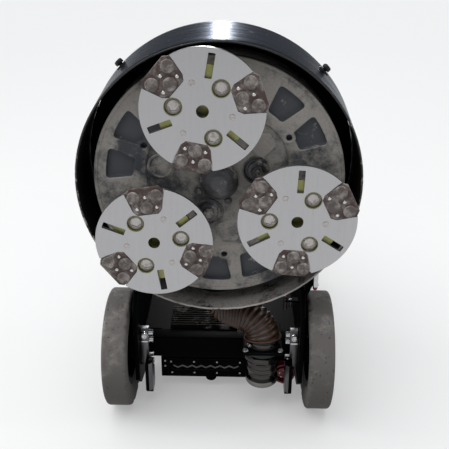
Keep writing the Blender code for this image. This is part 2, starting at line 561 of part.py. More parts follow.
# ---- handle ------------------------------------------------------------------------------------
def make_handle():
    hinge_y, hinge_z = HINGE
    frame = smooth_path([(-FRAME_X, 0.225, hinge_z), (-FRAME_X, 0.510, hinge_z),
                         (-FRAME_X, 0.600, FRAME_R), (FRAME_X, 0.600, FRAME_R),
                         (FRAME_X, 0.510, hinge_z), (FRAME_X, 0.225, hinge_z)], 0.040, 5)
    tube("handle_frame", frame, FRAME_R, BLACK_PAINT, "machine", 3)
    stub = FRAME_X + FRAME_R + 0.0006
    bar = smooth_path([(-stub, hinge_y, hinge_z), (-BAR_X, hinge_y, hinge_z),
                       (-BAR_X, HANDLE_END, hinge_z), (BAR_X, HANDLE_END, hinge_z),
                       (BAR_X, hinge_y, hinge_z), (stub, hinge_y, hinge_z)], 0.0205, 5)
    tube("handlebar", bar, BAR_R, BLACK_PAINT, "handle", 3)
    for side, name in ((-1, "left"), (1, "right")):
        grip = turned([(BAR_R + GAP, side * 0.095), (0.0205, side * 0.095), (0.0215, side * 0.100),
                       (0.0205, side * 0.215), (BAR_R + GAP, side * 0.215)], 24,
                      (0, HANDLE_END, hinge_z), "X")
        finish("grip_" + name, grip, BLACK_RUBBER, "handle", smooth=True)

    box = block((-BOX_X, BOX_Y[0], BOX_Z[0]), (BOX_X, BOX_Y[1], BOX_Z[1]))
    bmesh.ops.bevel(box, geom=box.edges, offset=0.004, segments=1, affect="EDGES", profile=0.5,
                    material=-1)
    box = finish("control_box", box, BLACK_PAINT, "handle")
    combine(box, rod(BAR_R + GAP, -0.2, 0.2, "X", (0, HANDLE_END, hinge_z), 24), "DIFFERENCE", "handle")
    face, middle_z = BOX_Y[1], (BOX_Z[0] + BOX_Z[1]) / 2
    for x, radius in ((STOP_BUTTON_X, 0.008), (START_BUTTON_X, 0.010), (KNOB_X, 0.005)):
        combine(box, rod(radius + GAP, face - 0.014, face + 0.01, "Y", (x, 0, middle_z), 20),
                "DIFFERENCE", "handle")
    stop = turned([(0, face - 0.007), (0.008, face - 0.007), (0.008, face + 0.008),
                   (0.018, face + 0.008), (0.019, face + 0.013), (0.014, face + BUTTON_PROUD),
                   (0, face + BUTTON_PROUD)], 24)
    place_control("emergency_stop", stop, STOP_BUTTON_X, middle_z, RED_PLASTIC)
    start = turned([(0, face - 0.008), (0.010, face - 0.008), (0.010, face + 0.004),
                    (0.009, face + 0.005), (0, face + 0.005)], 24)
    place_control("start_button", start, START_BUTTON_X, middle_z, GREEN_PLASTIC)
    knob = turned([(0, face - 0.012), (0.005, face - 0.012), (0.005, face + 0.001),
                   (0.014, face + 0.001), (0.013, face + 0.016), (0, face + 0.016)], 24)
    place_control("speed_knob", knob, KNOB_X, middle_z, BLACK_RUBBER)


def place_control(name, shape, x, z, finish_material):
    """Set a button or knob, turned on the origin's Y axis, in its bore of the control box."""
    bmesh.ops.translate(shape, verts=shape.verts, vec=(x, 0, z))
    finish(name, shape, finish_material, "handle", Vector((x, BOX_Y[1], z)), smooth=True)


make_shroud()
make_deck()
make_drive()
make_head_mounts()
make_carrier()
make_belts()
for head_number in (1, 2, 3):
    make_head(head_number)
for side, side_name in ((-1, "left"), (1, "right")):
    make_wheel(side, side_name)
    make_chassis_side(side, side_name)
make_cabinet()
make_coupling()
make_handle()
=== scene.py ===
"""Looks for a three-head planetary concrete grinder, tipped back on its wheels for a tool change."""
import math
import random

import bmesh
import bpy
from mathutils import Matrix, Vector, noise


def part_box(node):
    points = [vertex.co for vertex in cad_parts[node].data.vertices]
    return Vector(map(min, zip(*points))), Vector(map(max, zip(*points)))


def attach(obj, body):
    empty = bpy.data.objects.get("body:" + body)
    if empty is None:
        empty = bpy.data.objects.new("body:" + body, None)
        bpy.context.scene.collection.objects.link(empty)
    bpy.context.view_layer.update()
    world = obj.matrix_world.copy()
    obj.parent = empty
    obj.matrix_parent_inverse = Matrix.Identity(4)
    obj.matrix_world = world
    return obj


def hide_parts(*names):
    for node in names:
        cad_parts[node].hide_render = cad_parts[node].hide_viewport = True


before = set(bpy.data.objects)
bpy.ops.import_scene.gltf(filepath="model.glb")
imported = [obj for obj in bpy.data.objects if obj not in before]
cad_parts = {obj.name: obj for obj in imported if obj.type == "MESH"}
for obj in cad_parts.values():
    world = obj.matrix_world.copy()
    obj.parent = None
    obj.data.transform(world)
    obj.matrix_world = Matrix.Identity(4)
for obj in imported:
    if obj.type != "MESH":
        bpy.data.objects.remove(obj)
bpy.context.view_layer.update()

# ---- the machine's own places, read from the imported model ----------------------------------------
# The head axis runs along Y through the middle of the shroud band.
# Heights are above the floor, and "rim" is the Y of the band's front edge.
band_low, band_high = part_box("shroud_band")
rim = band_low.y
head_height = (band_low.z + band_high.z) / 2
head = Vector((0, rim, head_height))
right_angle = math.pi / 2

# ---- camera --------------------------------------------------------------------------------------
# A long lens on a stand, a little above the head and looking down at the wheels.
# It looks along +Y before it is turned.
camera_data = bpy.data.cameras.new("camera")
camera_data.sensor_width = 36
camera_data.lens = 56.16
camera = bpy.data.objects.new("camera", camera_data)
bpy.context.scene.collection.objects.link(camera)
camera_place = head + Vector((0.0373, -1.2586, 0.5058))
camera_tilt, camera_swing, camera_roll = -0.4356, 0.0201, -0.0054
camera.matrix_world = (Matrix.Translation(camera_place) @ Matrix.Rotation(camera_swing, 4, "Z")
                       @ Matrix.Rotation(camera_tilt, 4, "X") @ Matrix.Rotation(camera_roll, 4, "Y")
                       @ Matrix.Rotation(right_angle, 4, "X"))
bpy.context.scene.camera = camera

# ---- studio: floor, room and lamps ---------------------------------------------------------------
# A pale seamless floor in a dim room, lit by a broad soft sun overhead and a weak lamp on each side.
# A narrow upright lamp far behind draws the bright stripe on the band and lights nothing else.
# Floor and room are darker to bounced light than to the camera.
bpy.context.scene.view_settings.view_transform = "Standard"
PALE = (0.888, 0.888, 0.888, 1)
world = bpy.data.worlds.new("studio")
bpy.context.scene.world = world
world.use_nodes = True
room = world.node_tree
backdrop = room.nodes["Background"]
backdrop.inputs["Color"].default_value = PALE
dim_room = room.nodes.new("ShaderNodeBackground")
dim_room.inputs["Color"].default_value = (0.93, 0.96, 1.0, 1)
dim_room.inputs["Strength"].default_value = 0.34
seen_directly = room.nodes.new("ShaderNodeLightPath")
choose = room.nodes.new("ShaderNodeMixShader")
room.links.new(seen_directly.outputs["Is Camera Ray"], choose.inputs["Fac"])
room.links.new(dim_room.outputs["Background"], choose.inputs[1])
room.links.new(backdrop.outputs["Background"], choose.inputs[2])
room.links.new(choose.outputs["Shader"], room.nodes["World Output"].inputs["Surface"])

sun_data = bpy.data.lights.new("overhead_sun", "SUN")
sun_data.energy = 2.1
sun_data.angle = math.radians(70)
sun = bpy.data.objects.new("overhead_sun", sun_data)
bpy.context.scene.collection.objects.link(sun)
sun.matrix_world = Vector((0.25, 0.10, -1)).to_track_quat("-Z", "Y").to_matrix().to_4x4()
for name, place, aim, width, height, power in (
        ("stripe_lamp", (-0.085, 3.6, 1.9), (0, 0, 0.8), 0.16, 2.0, 70),
        ("left_lamp", (-2.6, -0.4, 1.3), (0, 0, 0.5), 0.5, 1.8, 16),
        ("right_lamp", (2.6, -0.6, 1.2), (0, 0, 0.4), 0.4, 1.6, 10)):
    lamp_data = bpy.data.lights.new(name, "AREA")
    lamp_data.shape = "RECTANGLE"
    lamp_data.size, lamp_data.size_y = width, height
    lamp_data.energy = power
    lamp = bpy.data.objects.new(name, lamp_data)
    bpy.context.scene.collection.objects.link(lamp)
    lamp.visible_camera = False
    lamp.visible_diffuse = name != "stripe_lamp"
    direction = Vector(aim) - Vector(place)
    lamp.matrix_world = Matrix.Translation(place) @ direction.to_track_quat("-Z", "Y").to_matrix().to_4x4()


def new_finish(name, colour, roughness, metallic=0.0, gloss=0.5):
    """A Principled material with its plain values set on the shader's own sockets."""
    made = bpy.data.materials.new(name)
    made.use_nodes = True
    shader = made.node_tree.nodes["Principled BSDF"]
    shader.inputs["Base Color"].default_value = (*colour, 1)
    shader.inputs["Roughness"].default_value = roughness
    shader.inputs["Metallic"].default_value = metallic
    shader.inputs["Specular IOR Level"].default_value = gloss
    return made


def add_node(tree, kind, sockets=None, **settings):
    """A node with its settings; each socket given is linked to another socket or set to a value."""
    made = tree.nodes.new(kind)
    for setting, value in settings.items():
        setattr(made, setting, value)
    for label, value in (sockets or {}).items():
        if isinstance(value, bpy.types.NodeSocket):
            tree.links.new(value, made.inputs[label])
        else:
            made.inputs[label].default_value = value
    return made


floor_mesh = bpy.data.meshes.new("floor")
floor_shape = bmesh.new()
bmesh.ops.create_grid(floor_shape, x_segments=1, y_segments=1, size=20)
floor_shape.to_mesh(floor_mesh)
floor_shape.free()
floor = bpy.data.objects.new("floor", floor_mesh)
bpy.context.scene.collection.objects.link(floor)
floor_finish = new_finish("pale_floor", (0.86, 0.86, 0.86), 0.9, gloss=0.1)
tree = floor_finish.node_tree
bounced = add_node(tree, "ShaderNodeLightPath").outputs["Is Diffuse Ray"]
seen_grey, bounced_grey, glow_strength = (0.60, 0.60, 0.60, 1), (0.36, 0.36, 0.36, 1), 0.30
floor_tone = add_node(tree, "ShaderNodeMix", {0: bounced, 6: seen_grey, 7: bounced_grey}, data_type="RGBA")
floor_glow = add_node(tree, "ShaderNodeMath", {0: glow_strength, 1: bounced}, operation="SUBTRACT",
                      use_clamp=True)
floor_shader = tree.nodes["Principled BSDF"]
tree.links.new(floor_tone.outputs[2], floor_shader.inputs["Base Color"])
tree.links.new(floor_glow.outputs[0], floor_shader.inputs["Emission Strength"])
floor_shader.inputs["Emission Color"].default_value = (1, 1, 1, 1)
floor_mesh.materials.append(floor_finish)

# ---- shroud band ---------------------------------------------------------------------------------
# A rolled steel band, ground round its outside and open to the front. Its lip is chipped
# and whitened where it meets the floor, and cement lies inside along the bottom, coloured nearly black as
# painted shade.
band_radius_front, band_radius_back, band_wall = 0.2785, 0.2845, 0.004
band_depth = band_high.y - band_low.y
band_place = Matrix.Translation(head) @ Matrix.Rotation(-right_angle, 4, "X")
hose_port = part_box("dust_port")
port_x = (hose_port[0].x + hose_port[1].x) / 2
port_y = (hose_port[0].y + hose_port[1].y) / 2


def shader_group(name, inputs, outputs):
    """An empty shader node group with named sockets, and its input and output nodes."""
    group = bpy.data.node_groups.new(name, "ShaderNodeTree")
    for label, kind, value in inputs:
        socket = group.interface.new_socket(label, in_out="INPUT", socket_type="NodeSocket" + kind)
        socket.default_value = value
    for label, kind in outputs:
        group.interface.new_socket(label, in_out="OUTPUT", socket_type="NodeSocket" + kind)
    return group, group.nodes.new("NodeGroupInput").outputs, group.nodes.new("NodeGroupOutput").inputs


# Cement dust: patches from two sizes of noise, a little thicker on faces that look up.
dust_group, given, result = shader_group(
    "cement_dust",
    [("Colour", "Color", (0.1, 0.1, 0.1, 1)), ("Roughness", "Float", 0.5),
     ("Dust Colour", "Color", (0.4, 0.37, 0.34, 1)), ("Amount", "Float", 0.4),
     ("Patch Scale", "Float", 14.0), ("Softness", "Float", 0.12), ("Speckle", "Float", 0.14)],
    [("Colour", "Color"), ("Roughness", "Float"), ("Height", "Float"), ("Mask", "Float")])
where = add_node(dust_group, "ShaderNodeTexCoord").outputs["Object"]
patches = add_node(dust_group, "ShaderNodeTexNoise", {
    "Vector": where, "Scale": given["Patch Scale"], "Detail": 9.0, "Roughness": 0.68})
specks = add_node(dust_group, "ShaderNodeTexNoise", {
    "Vector": where, "Scale": 260.0, "Detail": 4.0, "Roughness": 0.7})
normal_parts = add_node(dust_group, "ShaderNodeSeparateXYZ", {
    "Vector": add_node(dust_group, "ShaderNodeNewGeometry").outputs["Normal"]})
settled = add_node(dust_group, "ShaderNodeMath", {
    0: normal_parts.outputs["Z"], 1: 0.05, 2: patches.outputs["Fac"]}, operation="MULTIPLY_ADD")
speckled = add_node(dust_group, "ShaderNodeMath", {
    0: specks.outputs["Fac"], 1: given["Speckle"], 2: settled.outputs[0]}, operation="MULTIPLY_ADD")
start_level = add_node(dust_group, "ShaderNodeMath", {
    0: given["Amount"], 1: -0.42, 2: 0.80}, operation="MULTIPLY_ADD")
full_level = add_node(dust_group, "ShaderNodeMath", {
    0: start_level.outputs[0], 1: given["Softness"]}, operation="ADD")
dust_mask = add_node(dust_group, "ShaderNodeMapRange", {
    "Value": speckled.outputs[0], "From Min": start_level.outputs[0],
    "From Max": full_level.outputs[0]}, interpolation_type="SMOOTHSTEP")
dust_tint = add_node(dust_group, "ShaderNodeMix", {
    0: specks.outputs["Fac"], 6: given["Dust Colour"], 7: (0.62, 0.58, 0.54, 1)}, data_type="RGBA")
dusted = add_node(dust_group, "ShaderNodeMix", {
    0: dust_mask.outputs[0], 6: given["Colour"], 7: dust_tint.outputs[2]}, data_type="RGBA")
dulled = add_node(dust_group, "ShaderNodeMix", {
    0: dust_mask.outputs[0], 2: given["Roughness"], 3: 0.9}, data_type="FLOAT")
dust_height = add_node(dust_group, "ShaderNodeMath", {
    0: dust_mask.outputs[0], 1: specks.outputs["Fac"]}, operation="MULTIPLY")
for label, socket in (("Colour", dusted.outputs[2]), ("Roughness", dulled.outputs[0]),
                      ("Height", dust_height.outputs[0]), ("Mask", dust_mask.outputs[0])):
    dust_group.links.new(socket, result[label])


# Brush marks: noise drawn out along the way the metal was ground.
brush_group, given, result = shader_group(
    "brush_marks", [("Stretch", "Vector", (600, 20, 600)), ("Depth", "Float", 0.5)],
    [("Value", "Float"), ("Height", "Float")])
drawn_out = add_node(brush_group, "ShaderNodeVectorMath", {
    0: add_node(brush_group, "ShaderNodeTexCoord").outputs["Object"], 1: given["Stretch"]},
    operation="MULTIPLY")
marks = add_node(brush_group, "ShaderNodeTexNoise", {
    "Vector": drawn_out.outputs[0], "Scale": 1.0, "Detail": 5.0, "Roughness": 0.6})
depth = add_node(brush_group, "ShaderNodeMath", {0: marks.outputs["Fac"], 1: given["Depth"]},
                 operation="MULTIPLY")
brush_group.links.new(marks.outputs["Fac"], result["Value"])
brush_group.links.new(depth.outputs[0], result["Height"])


def use_group(tree, group, sockets):
    placed = add_node(tree, "ShaderNodeGroup", node_tree=group)
    for label, value in sockets.items():
        if isinstance(value, bpy.types.NodeSocket):
            tree.links.new(value, placed.inputs[label])
        else:
            placed.inputs[label].default_value = value
    return placed.outputs


def connect(finish, colour=None, roughness=None, height=None, relief=0.2, depth=0.0004, metallic=None,
            normal=None):
    """Feed a material's shader; height goes through a Bump node of its own."""
    tree = finish.node_tree
    shader = tree.nodes["Principled BSDF"]
    for label, socket in (("Base Color", colour), ("Roughness", roughness), ("Metallic", metallic)):
        if socket is not None:
            tree.links.new(socket, shader.inputs[label])
    if height is not None:
        bump = add_node(tree, "ShaderNodeBump", {"Height": height, "Strength": relief, "Distance": depth})
        if normal is not None:
            tree.links.new(normal, bump.inputs["Normal"])
        tree.links.new(bump.outputs["Normal"], shader.inputs["Normal"])
    elif normal is not None:
        tree.links.new(normal, shader.inputs["Normal"])


ground_band = new_finish("ground_band", (0.22, 0.225, 0.235), 0.30, 1.0)
tree = ground_band.node_tree
streaks = use_group(tree, brush_group, {"Stretch": (5.0, 420.0, 5.0), "Depth": 1.0})
broad = use_group(tree, brush_group, {"Stretch": (3.0, 60.0, 3.0), "Depth": 1.0})
both = add_node(tree, "ShaderNodeMath", {0: streaks["Value"], 1: broad["Value"]}, operation="ADD")
band_tone = add_node(tree, "ShaderNodeMapRange", {
    "Value": both.outputs[0], "From Min": 0.7, "From Max": 1.35, "To Min": 0.30, "To Max": 1.60})
band_colour = add_node(tree, "ShaderNodeVectorMath", {0: (0.070, 0.073, 0.080), 1: band_tone.outputs[0]},
                       operation="MULTIPLY")
band_shine = add_node(tree, "ShaderNodeMapRange", {
    "Value": both.outputs[0], "From Min": 0.7, "From Max": 1.35, "To Min": 0.19, "To Max": 0.36})
band_dust = use_group(tree, dust_group, {
    "Colour": band_colour.outputs[0], "Roughness": band_shine.outputs[0],
    "Dust Colour": (0.16, 0.15, 0.14, 1), "Amount": 0.16, "Patch Scale": 30.0})
connect(ground_band, band_dust["Colour"], band_dust["Roughness"], streaks["Height"], 0.12, 0.0003)
tree.nodes["Principled BSDF"].inputs["Specular Tint"].default_value = (0.42, 0.44, 0.48, 1)

# The inside is black with cement splashed over its lower half. The cement is coloured nearly black, far
# darker than cement, as painted shade inside the band.
splashed_band_painted_shade = new_finish("splashed_band_painted_shade", (0.02, 0.02, 0.02), 0.7, gloss=0.15)
tree = splashed_band_painted_shade.node_tree
height_here = add_node(tree, "ShaderNodeSeparateXYZ", {
    "Vector": add_node(tree, "ShaderNodeTexCoord").outputs["Object"]})
low_down = add_node(tree, "ShaderNodeMapRange", {
    "Value": height_here.outputs["Z"], "From Min": head_height - 0.05, "From Max": head_height - 0.26,
    "To Min": 0.10, "To Max": 0.95}, interpolation_type="SMOOTHSTEP")
splash_and_shade = use_group(tree, dust_group, {
    "Colour": (0.007, 0.007, 0.007, 1), "Roughness": 0.6, "Dust Colour": (0.036, 0.035, 0.036, 1),
    "Amount": low_down.outputs[0], "Patch Scale": 22.0, "Softness": 0.22})
connect(splashed_band_painted_shade, splash_and_shade["Colour"], splash_and_shade["Roughness"], splash_and_shade["Height"], 0.8, 0.0012)

# The front lip is rubbed to pale dusty metal, most of all along the bottom.
rubbed_lip = new_finish("rubbed_lip", (0.2, 0.19, 0.18), 0.7)
tree = rubbed_lip.node_tree
height_here = add_node(tree, "ShaderNodeSeparateXYZ", {
    "Vector": add_node(tree, "ShaderNodeTexCoord").outputs["Object"]})
low_down = add_node(tree, "ShaderNodeMapRange", {
    "Value": height_here.outputs["Z"], "From Min": head_height + 0.22, "From Max": head_height - 0.24,
    "To Min": 0.25, "To Max": 1.0})
lip_dust = use_group(tree, dust_group, {
    "Colour": (0.015, 0.015, 0.015, 1), "Roughness": 0.5, "Dust Colour": (0.42, 0.40, 0.38, 1),
    "Amount": low_down.outputs[0], "Patch Scale": 40.0, "Softness": 0.15})
connect(rubbed_lip, lip_dust["Colour"], lip_dust["Roughness"], lip_dust["Height"], 0.8, 0.001)


def round_corners(points, radius, steps=4):
    """A closed outline with every corner rounded; radius may be one number or one per corner."""
    made = []
    count = len(points)
    radii = radius if isinstance(radius, (list, tuple)) else [radius] * count
    for i in range(count):
        corner = Vector(points[i])
        before, after = Vector(points[i - 1]), Vector(points[(i + 1) % count])
        inward, outward = before - corner, after - corner
        if radii[i] <= 0 or inward.length < 1e-7 or outward.length < 1e-7:
            made.append(tuple(corner))
            continue
        half = inward.angle(outward) / 2
        if half > 1.5:
            made.append(tuple(corner))
            continue
        reach = min(radii[i] / math.tan(half), 0.45 * inward.length, 0.45 * outward.length)
        first = corner + inward.normalized() * reach
        last = corner + outward.normalized() * reach
        for step in range(steps + 1):
            t = step / steps
            made.append(tuple((1 - t) ** 2 * first + 2 * t * (1 - t) * corner + t ** 2 * last))
    return made


def lathe(outline, steps=96, place=Matrix.Identity(4), radius=0.0, corner_steps=3):
    """A closed outline of (radius, height) spun about Z, with its corners rounded."""
    if radius:
        outline = round_corners(outline, [0 if r < 1e-6 else radius for r, _ in outline], corner_steps)
    shape = bmesh.new()
    points = [shape.verts.new((max(r, 0), 0, h)) for r, h in outline]
    edges = [shape.edges.new((points[i - 1], points[i])) for i in range(len(points))]
    bmesh.ops.spin(shape, geom=points + edges, cent=(0, 0, 0), axis=(0, 0, 1), dvec=(0, 0, 0),
                   angle=2 * math.pi, steps=steps, use_merge=True)
    bmesh.ops.remove_doubles(shape, verts=shape.verts, dist=1e-6)
    loose = [edge for edge in shape.edges if not edge.link_faces]
    bmesh.ops.delete(shape, geom=loose, context="EDGES")
    bmesh.ops.recalc_face_normals(shape, faces=shape.faces)
    bmesh.ops.transform(shape, matrix=place, verts=shape.verts)
    return shape


def add_piece(name, shape, finishes, body, stands_for=(), crease=35):
    """Store a shape in the machine's frame as a piece that rides on a body."""
    for face in shape.faces:
        face.smooth = True
    for edge in shape.edges:
        if len(edge.link_faces) == 2 and edge.calc_face_angle(0) > math.radians(crease):
            edge.smooth = False
    mesh = bpy.data.meshes.new(name)
    shape.to_mesh(mesh)
    shape.free()
    for finish in finishes:
        mesh.materials.append(finish)
    piece = bpy.data.objects.new(name, mesh)
    bpy.context.scene.collection.objects.link(piece)
    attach(piece, body)
    if stands_for:
        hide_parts(*stands_for)
    return piece


lip = 0.0014
inner_front, inner_back = band_radius_front - band_wall, band_radius_back - band_wall
wall_steps = 12
outline = [(inner_front + (inner_back - inner_front) * i / wall_steps,
            max(band_depth * i / wall_steps, lip)) for i in range(wall_steps + 1)]
outline += [(band_radius_back + (band_radius_front - band_radius_back) * i / wall_steps,
             max(band_depth * (1 - i / wall_steps), lip)) for i in range(wall_steps + 1)]
outline += [(band_radius_front - 0.4 * lip, 0.35 * lip), (band_radius_front - lip, 0.0),
            (inner_front + lip, 0.0), (inner_front + 0.4 * lip, 0.35 * lip)]
shape = lathe(outline, 288)
random.seed(4)
chips = [(random.uniform(0, 2 * math.pi), random.uniform(0.003, 0.010)) for _ in range(70)]
for point in shape.verts:
    if point.co.z <= lip * 1.01:
        turn = math.atan2(point.co.y, point.co.x)
        radius = math.hypot(point.co.x, point.co.y)
        bite = sum(max(0.0, 1 - abs(math.remainder(turn - at, 2 * math.pi)) * radius / wide)
                   for at, wide in chips)
        point.co.z += min(bite, 1.0) * 0.0011 + noise.noise((turn * 30, 0.5, 2.0)) * 0.0003
for face in shape.faces:
    centre = face.calc_center_median()
    wall_middle = inner_front + band_wall / 2 + (inner_back - inner_front) * centre.z / band_depth
    face.material_index = 2 if centre.z < lip * 1.5 else int(centre.xy.length < wall_middle)
port_hole = [face for face in shape.faces
             if math.hypot(face.calc_center_median().x - port_x,
                           face.calc_center_median().z + rim - port_y) < 0.036
             and face.calc_center_median().y > 0]
bmesh.ops.delete(shape, geom=port_hole, context="FACES")
bmesh.ops.transform(shape, matrix=band_place, verts=shape.verts)
add_piece("band_shell", shape, [ground_band, splashed_band_painted_shade, rubbed_lip], "chassis",
          ["shroud_band"], crease=30)


# Worn edges: where a rounded normal leaves the true one, the coating is rubbed through.
wear_group, given, result = shader_group(
    "worn_edges",
    [("Colour", "Color", (0.02, 0.02, 0.02, 1)), ("Bare Colour", "Color", (0.35, 0.34, 0.33, 1)),
     ("Amount", "Float", 0.5), ("Width", "Float", 0.0015)],
    [("Colour", "Color"), ("Mask", "Float"), ("Normal", "Vector")])
rounded = add_node(wear_group, "ShaderNodeBevel", {"Radius": given["Width"]}, samples=4)
true_normal = add_node(wear_group, "ShaderNodeNewGeometry").outputs["Normal"]
agreement = add_node(wear_group, "ShaderNodeVectorMath", {
    0: rounded.outputs[0], 1: true_normal}, operation="DOT_PRODUCT")
departure = add_node(wear_group, "ShaderNodeMath", {0: 1.0, 1: agreement.outputs["Value"]},
                     operation="SUBTRACT")
rubbing = add_node(wear_group, "ShaderNodeTexNoise", {
    "Vector": add_node(wear_group, "ShaderNodeTexCoord").outputs["Object"],
    "Scale": 60.0, "Detail": 6.0, "Roughness": 0.7})
uneven = add_node(wear_group, "ShaderNodeMath", {
    0: rubbing.outputs["Fac"], 1: departure.outputs[0]}, operation="MULTIPLY")
strength = add_node(wear_group, "ShaderNodeMath", {0: uneven.outputs[0], 1: given["Amount"]},
                    operation="MULTIPLY")
worn = add_node(wear_group, "ShaderNodeMapRange", {
    "Value": strength.outputs[0], "From Min": 0.012, "From Max": 0.05})
bared = add_node(wear_group, "ShaderNodeMix", {
    0: worn.outputs[0], 6: given["Colour"], 7: given["Bare Colour"]}, data_type="RGBA")
for label, socket in (("Colour", bared.outputs[2]), ("Mask", worn.outputs[0]),
                      ("Normal", rounded.outputs[0])):
    wear_group.links.new(socket, result[label])


def coated_finish(name, colour, roughness, gloss, bare, wear, dust_colour, dust, patch_scale=14.0,
                  softness=0.12, pebble=0.1):
    """A paint or plastic coat with worn edges under patches of dust."""
    finish = new_finish(name, colour, roughness, gloss=gloss)
    tree = finish.node_tree
    wear_out = use_group(tree, wear_group, {
        "Colour": (*colour, 1), "Bare Colour": (*bare, 1), "Amount": wear})
    mottle = add_node(tree, "ShaderNodeTexNoise", {
        "Vector": add_node(tree, "ShaderNodeTexCoord").outputs["Object"],
        "Scale": 900.0, "Detail": 3.0})
    dust_out = use_group(tree, dust_group, {
        "Colour": wear_out["Colour"], "Roughness": roughness, "Dust Colour": (*dust_colour, 1),
        "Amount": dust, "Patch Scale": patch_scale, "Softness": softness})
    relief = add_node(tree, "ShaderNodeMath", {
        0: mottle.outputs["Fac"], 1: pebble, 2: dust_out["Height"]}, operation="MULTIPLY_ADD")
    connect(finish, dust_out["Colour"], dust_out["Roughness"], relief.outputs[0], 0.5, 0.0003,
            normal=wear_out["Normal"])
    return finish


# Two small black knobs clamp the dust skirt to the outside of the band.
black_moulding = coated_finish("black_moulding", (0.010, 0.010, 0.011), 0.45, 0.3, (0.03, 0.03, 0.03),
                               0.2, (0.16, 0.15, 0.14), 0.16)


def draw_loop(shape, outline):
    points = [shape.verts.new((x, y, 0)) for x, y in outline]
    return [shape.edges.new((points[i - 1], points[i])) for i in range(len(points))]


def pushed_faces(shape, faces, depth, shrink=1.0):
    """Walls from a patch of faces down to a depth, where the patch ends up a little smaller."""
    pushed = bmesh.ops.extrude_face_region(shape, geom=faces)["geom"]
    bmesh.ops.delete(shape, geom=[face for face in faces if face.is_valid], context="FACES_ONLY")
    points = [item for item in pushed if isinstance(item, bmesh.types.BMVert)]
    centre = sum((point.co for point in points), Vector()) / len(points)
    for point in points:
        point.co = centre + (point.co - centre) * shrink
        point.co.z -= depth


def inside(point, outline):
    """Whether a point lies within a closed outline."""
    within = False
    for (x1, y1), (x2, y2) in zip(outline, outline[1:] + outline[:1]):
        if (y1 > point.y) != (y2 > point.y) and point.x < (x2 - x1) * (point.y - y1) / (y2 - y1) + x1:
            within = not within
    return within


def ease_edges(shape, width, segments=2, least_turn=0.6):
    """Bevel every edge that turns by more than a little."""
    sharp = [edge for edge in shape.edges
             if len(edge.link_faces) == 2 and edge.calc_face_angle(0) > least_turn]
    bmesh.ops.bevel(shape, geom=sharp, offset=width, offset_type="OFFSET", affect="EDGES",
                    segments=segments, profile=0.5, material=-1, clamp_overlap=False)


def cut_plate(outline, thickness, holes=(), pockets=(), place=Matrix.Identity(4), bevel=0.0, segments=2):
    """A plate that faces +Z at height 0. Holes go through; a pocket is (outline, depth, shrink)."""
    shape = bmesh.new()
    cut_outs = [*holes, *(pocket[0] for pocket in pockets)]
    loops = [draw_loop(shape, each) for each in (outline, *cut_outs)]
    bmesh.ops.triangle_fill(shape, use_beauty=True, use_dissolve=False,
                            edges=[edge for loop in loops for edge in loop])
    surplus = [face for face in shape.faces
               if any(inside(face.calc_center_median(), each) for each in cut_outs)]
    bmesh.ops.delete(shape, geom=surplus, context="FACES_ONLY")
    floors = []
    for loop in loops[1 + len(holes):]:
        filled = bmesh.ops.triangle_fill(shape, use_beauty=True, use_dissolve=False, edges=loop)["geom"]
        floors.append([item for item in filled if isinstance(item, bmesh.types.BMFace)])
    loose = [edge for edge in shape.edges if not edge.link_faces]
    bmesh.ops.delete(shape, geom=loose, context="EDGES")
    underside = bmesh.ops.extrude_face_region(shape, geom=list(shape.faces), use_keep_orig=True)["geom"]
    bmesh.ops.translate(shape, vec=(0, 0, -thickness),
                        verts=[item for item in underside if isinstance(item, bmesh.types.BMVert)])
    for floor_faces, (_, depth, shrink) in zip(floors, pockets):
        pushed_faces(shape, floor_faces, depth, shrink)
    bmesh.ops.recalc_face_normals(shape, faces=shape.faces)
    if bevel:
        ease_edges(shape, bevel, segments)
    for edge in shape.edges:
        edge.smooth = len(edge.link_faces) == 2 and edge.calc_face_angle(0) < 0.36
    bmesh.ops.transform(shape, matrix=place, verts=shape.verts)
    return shape


def joined(shapes):
    whole = bmesh.new()
    for shape in shapes:
        passing = bpy.data.meshes.new("passing")
        shape.to_mesh(passing)
        shape.free()
        whole.from_mesh(passing)
        bpy.data.meshes.remove(passing)
    return whole


def facing(direction, at):
    """The place that turns local +Z to a direction, at a point."""
    return Matrix.Translation(at) @ Vector(direction).to_track_quat("Z", "Y").to_matrix().to_4x4()


knobs = []
for turn in (-44.5, 46.5):
    outward = Vector((math.sin(math.radians(turn)), 0, math.cos(math.radians(turn))))
    at = head + outward * 0.2805 + Vector((0, 0.145, 0))
    grip = lathe([(0, 0.004), (0.0045, 0.004), (0.0045, 0.0065), (0.0085, 0.0065), (0.0092, 0.010),
                  (0.0085, 0.0145), (0.005, 0.0160), (0, 0.0160)], 24, facing(outward, at), 0.0008)
    foot = cut_plate(round_corners([(-0.009, -0.012), (0.009, -0.012), (0.009, 0.012),
                                    (-0.009, 0.012)], 0.003), 0.004,
                     place=facing(outward, at + outward * 0.0042), bevel=0.0006)
    knobs += [grip, foot]
add_piece("skirt_knobs", joined(knobs), [black_moulding], "chassis")

# ---- carrier -------------------------------------------------------------------------------------
# A cast iron disc that carries the three heads round. Six windows lighten its rim, and
# its sunken middle holds the hub cap, the belt tensioners and a round inspection cap.
carrier_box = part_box("carrier_disc")
carrier_face = carrier_box[0].y
carrier_radius = 0.2475
orbit = 0.1623
first_spindle = -9.9


def carrier_point(radius, degrees):
    """Front view X and height of a point on the carrier, clockwise from its first spindle."""
    turn = math.radians(first_spindle + degrees)
    return radius * math.sin(turn), radius * math.cos(turn)


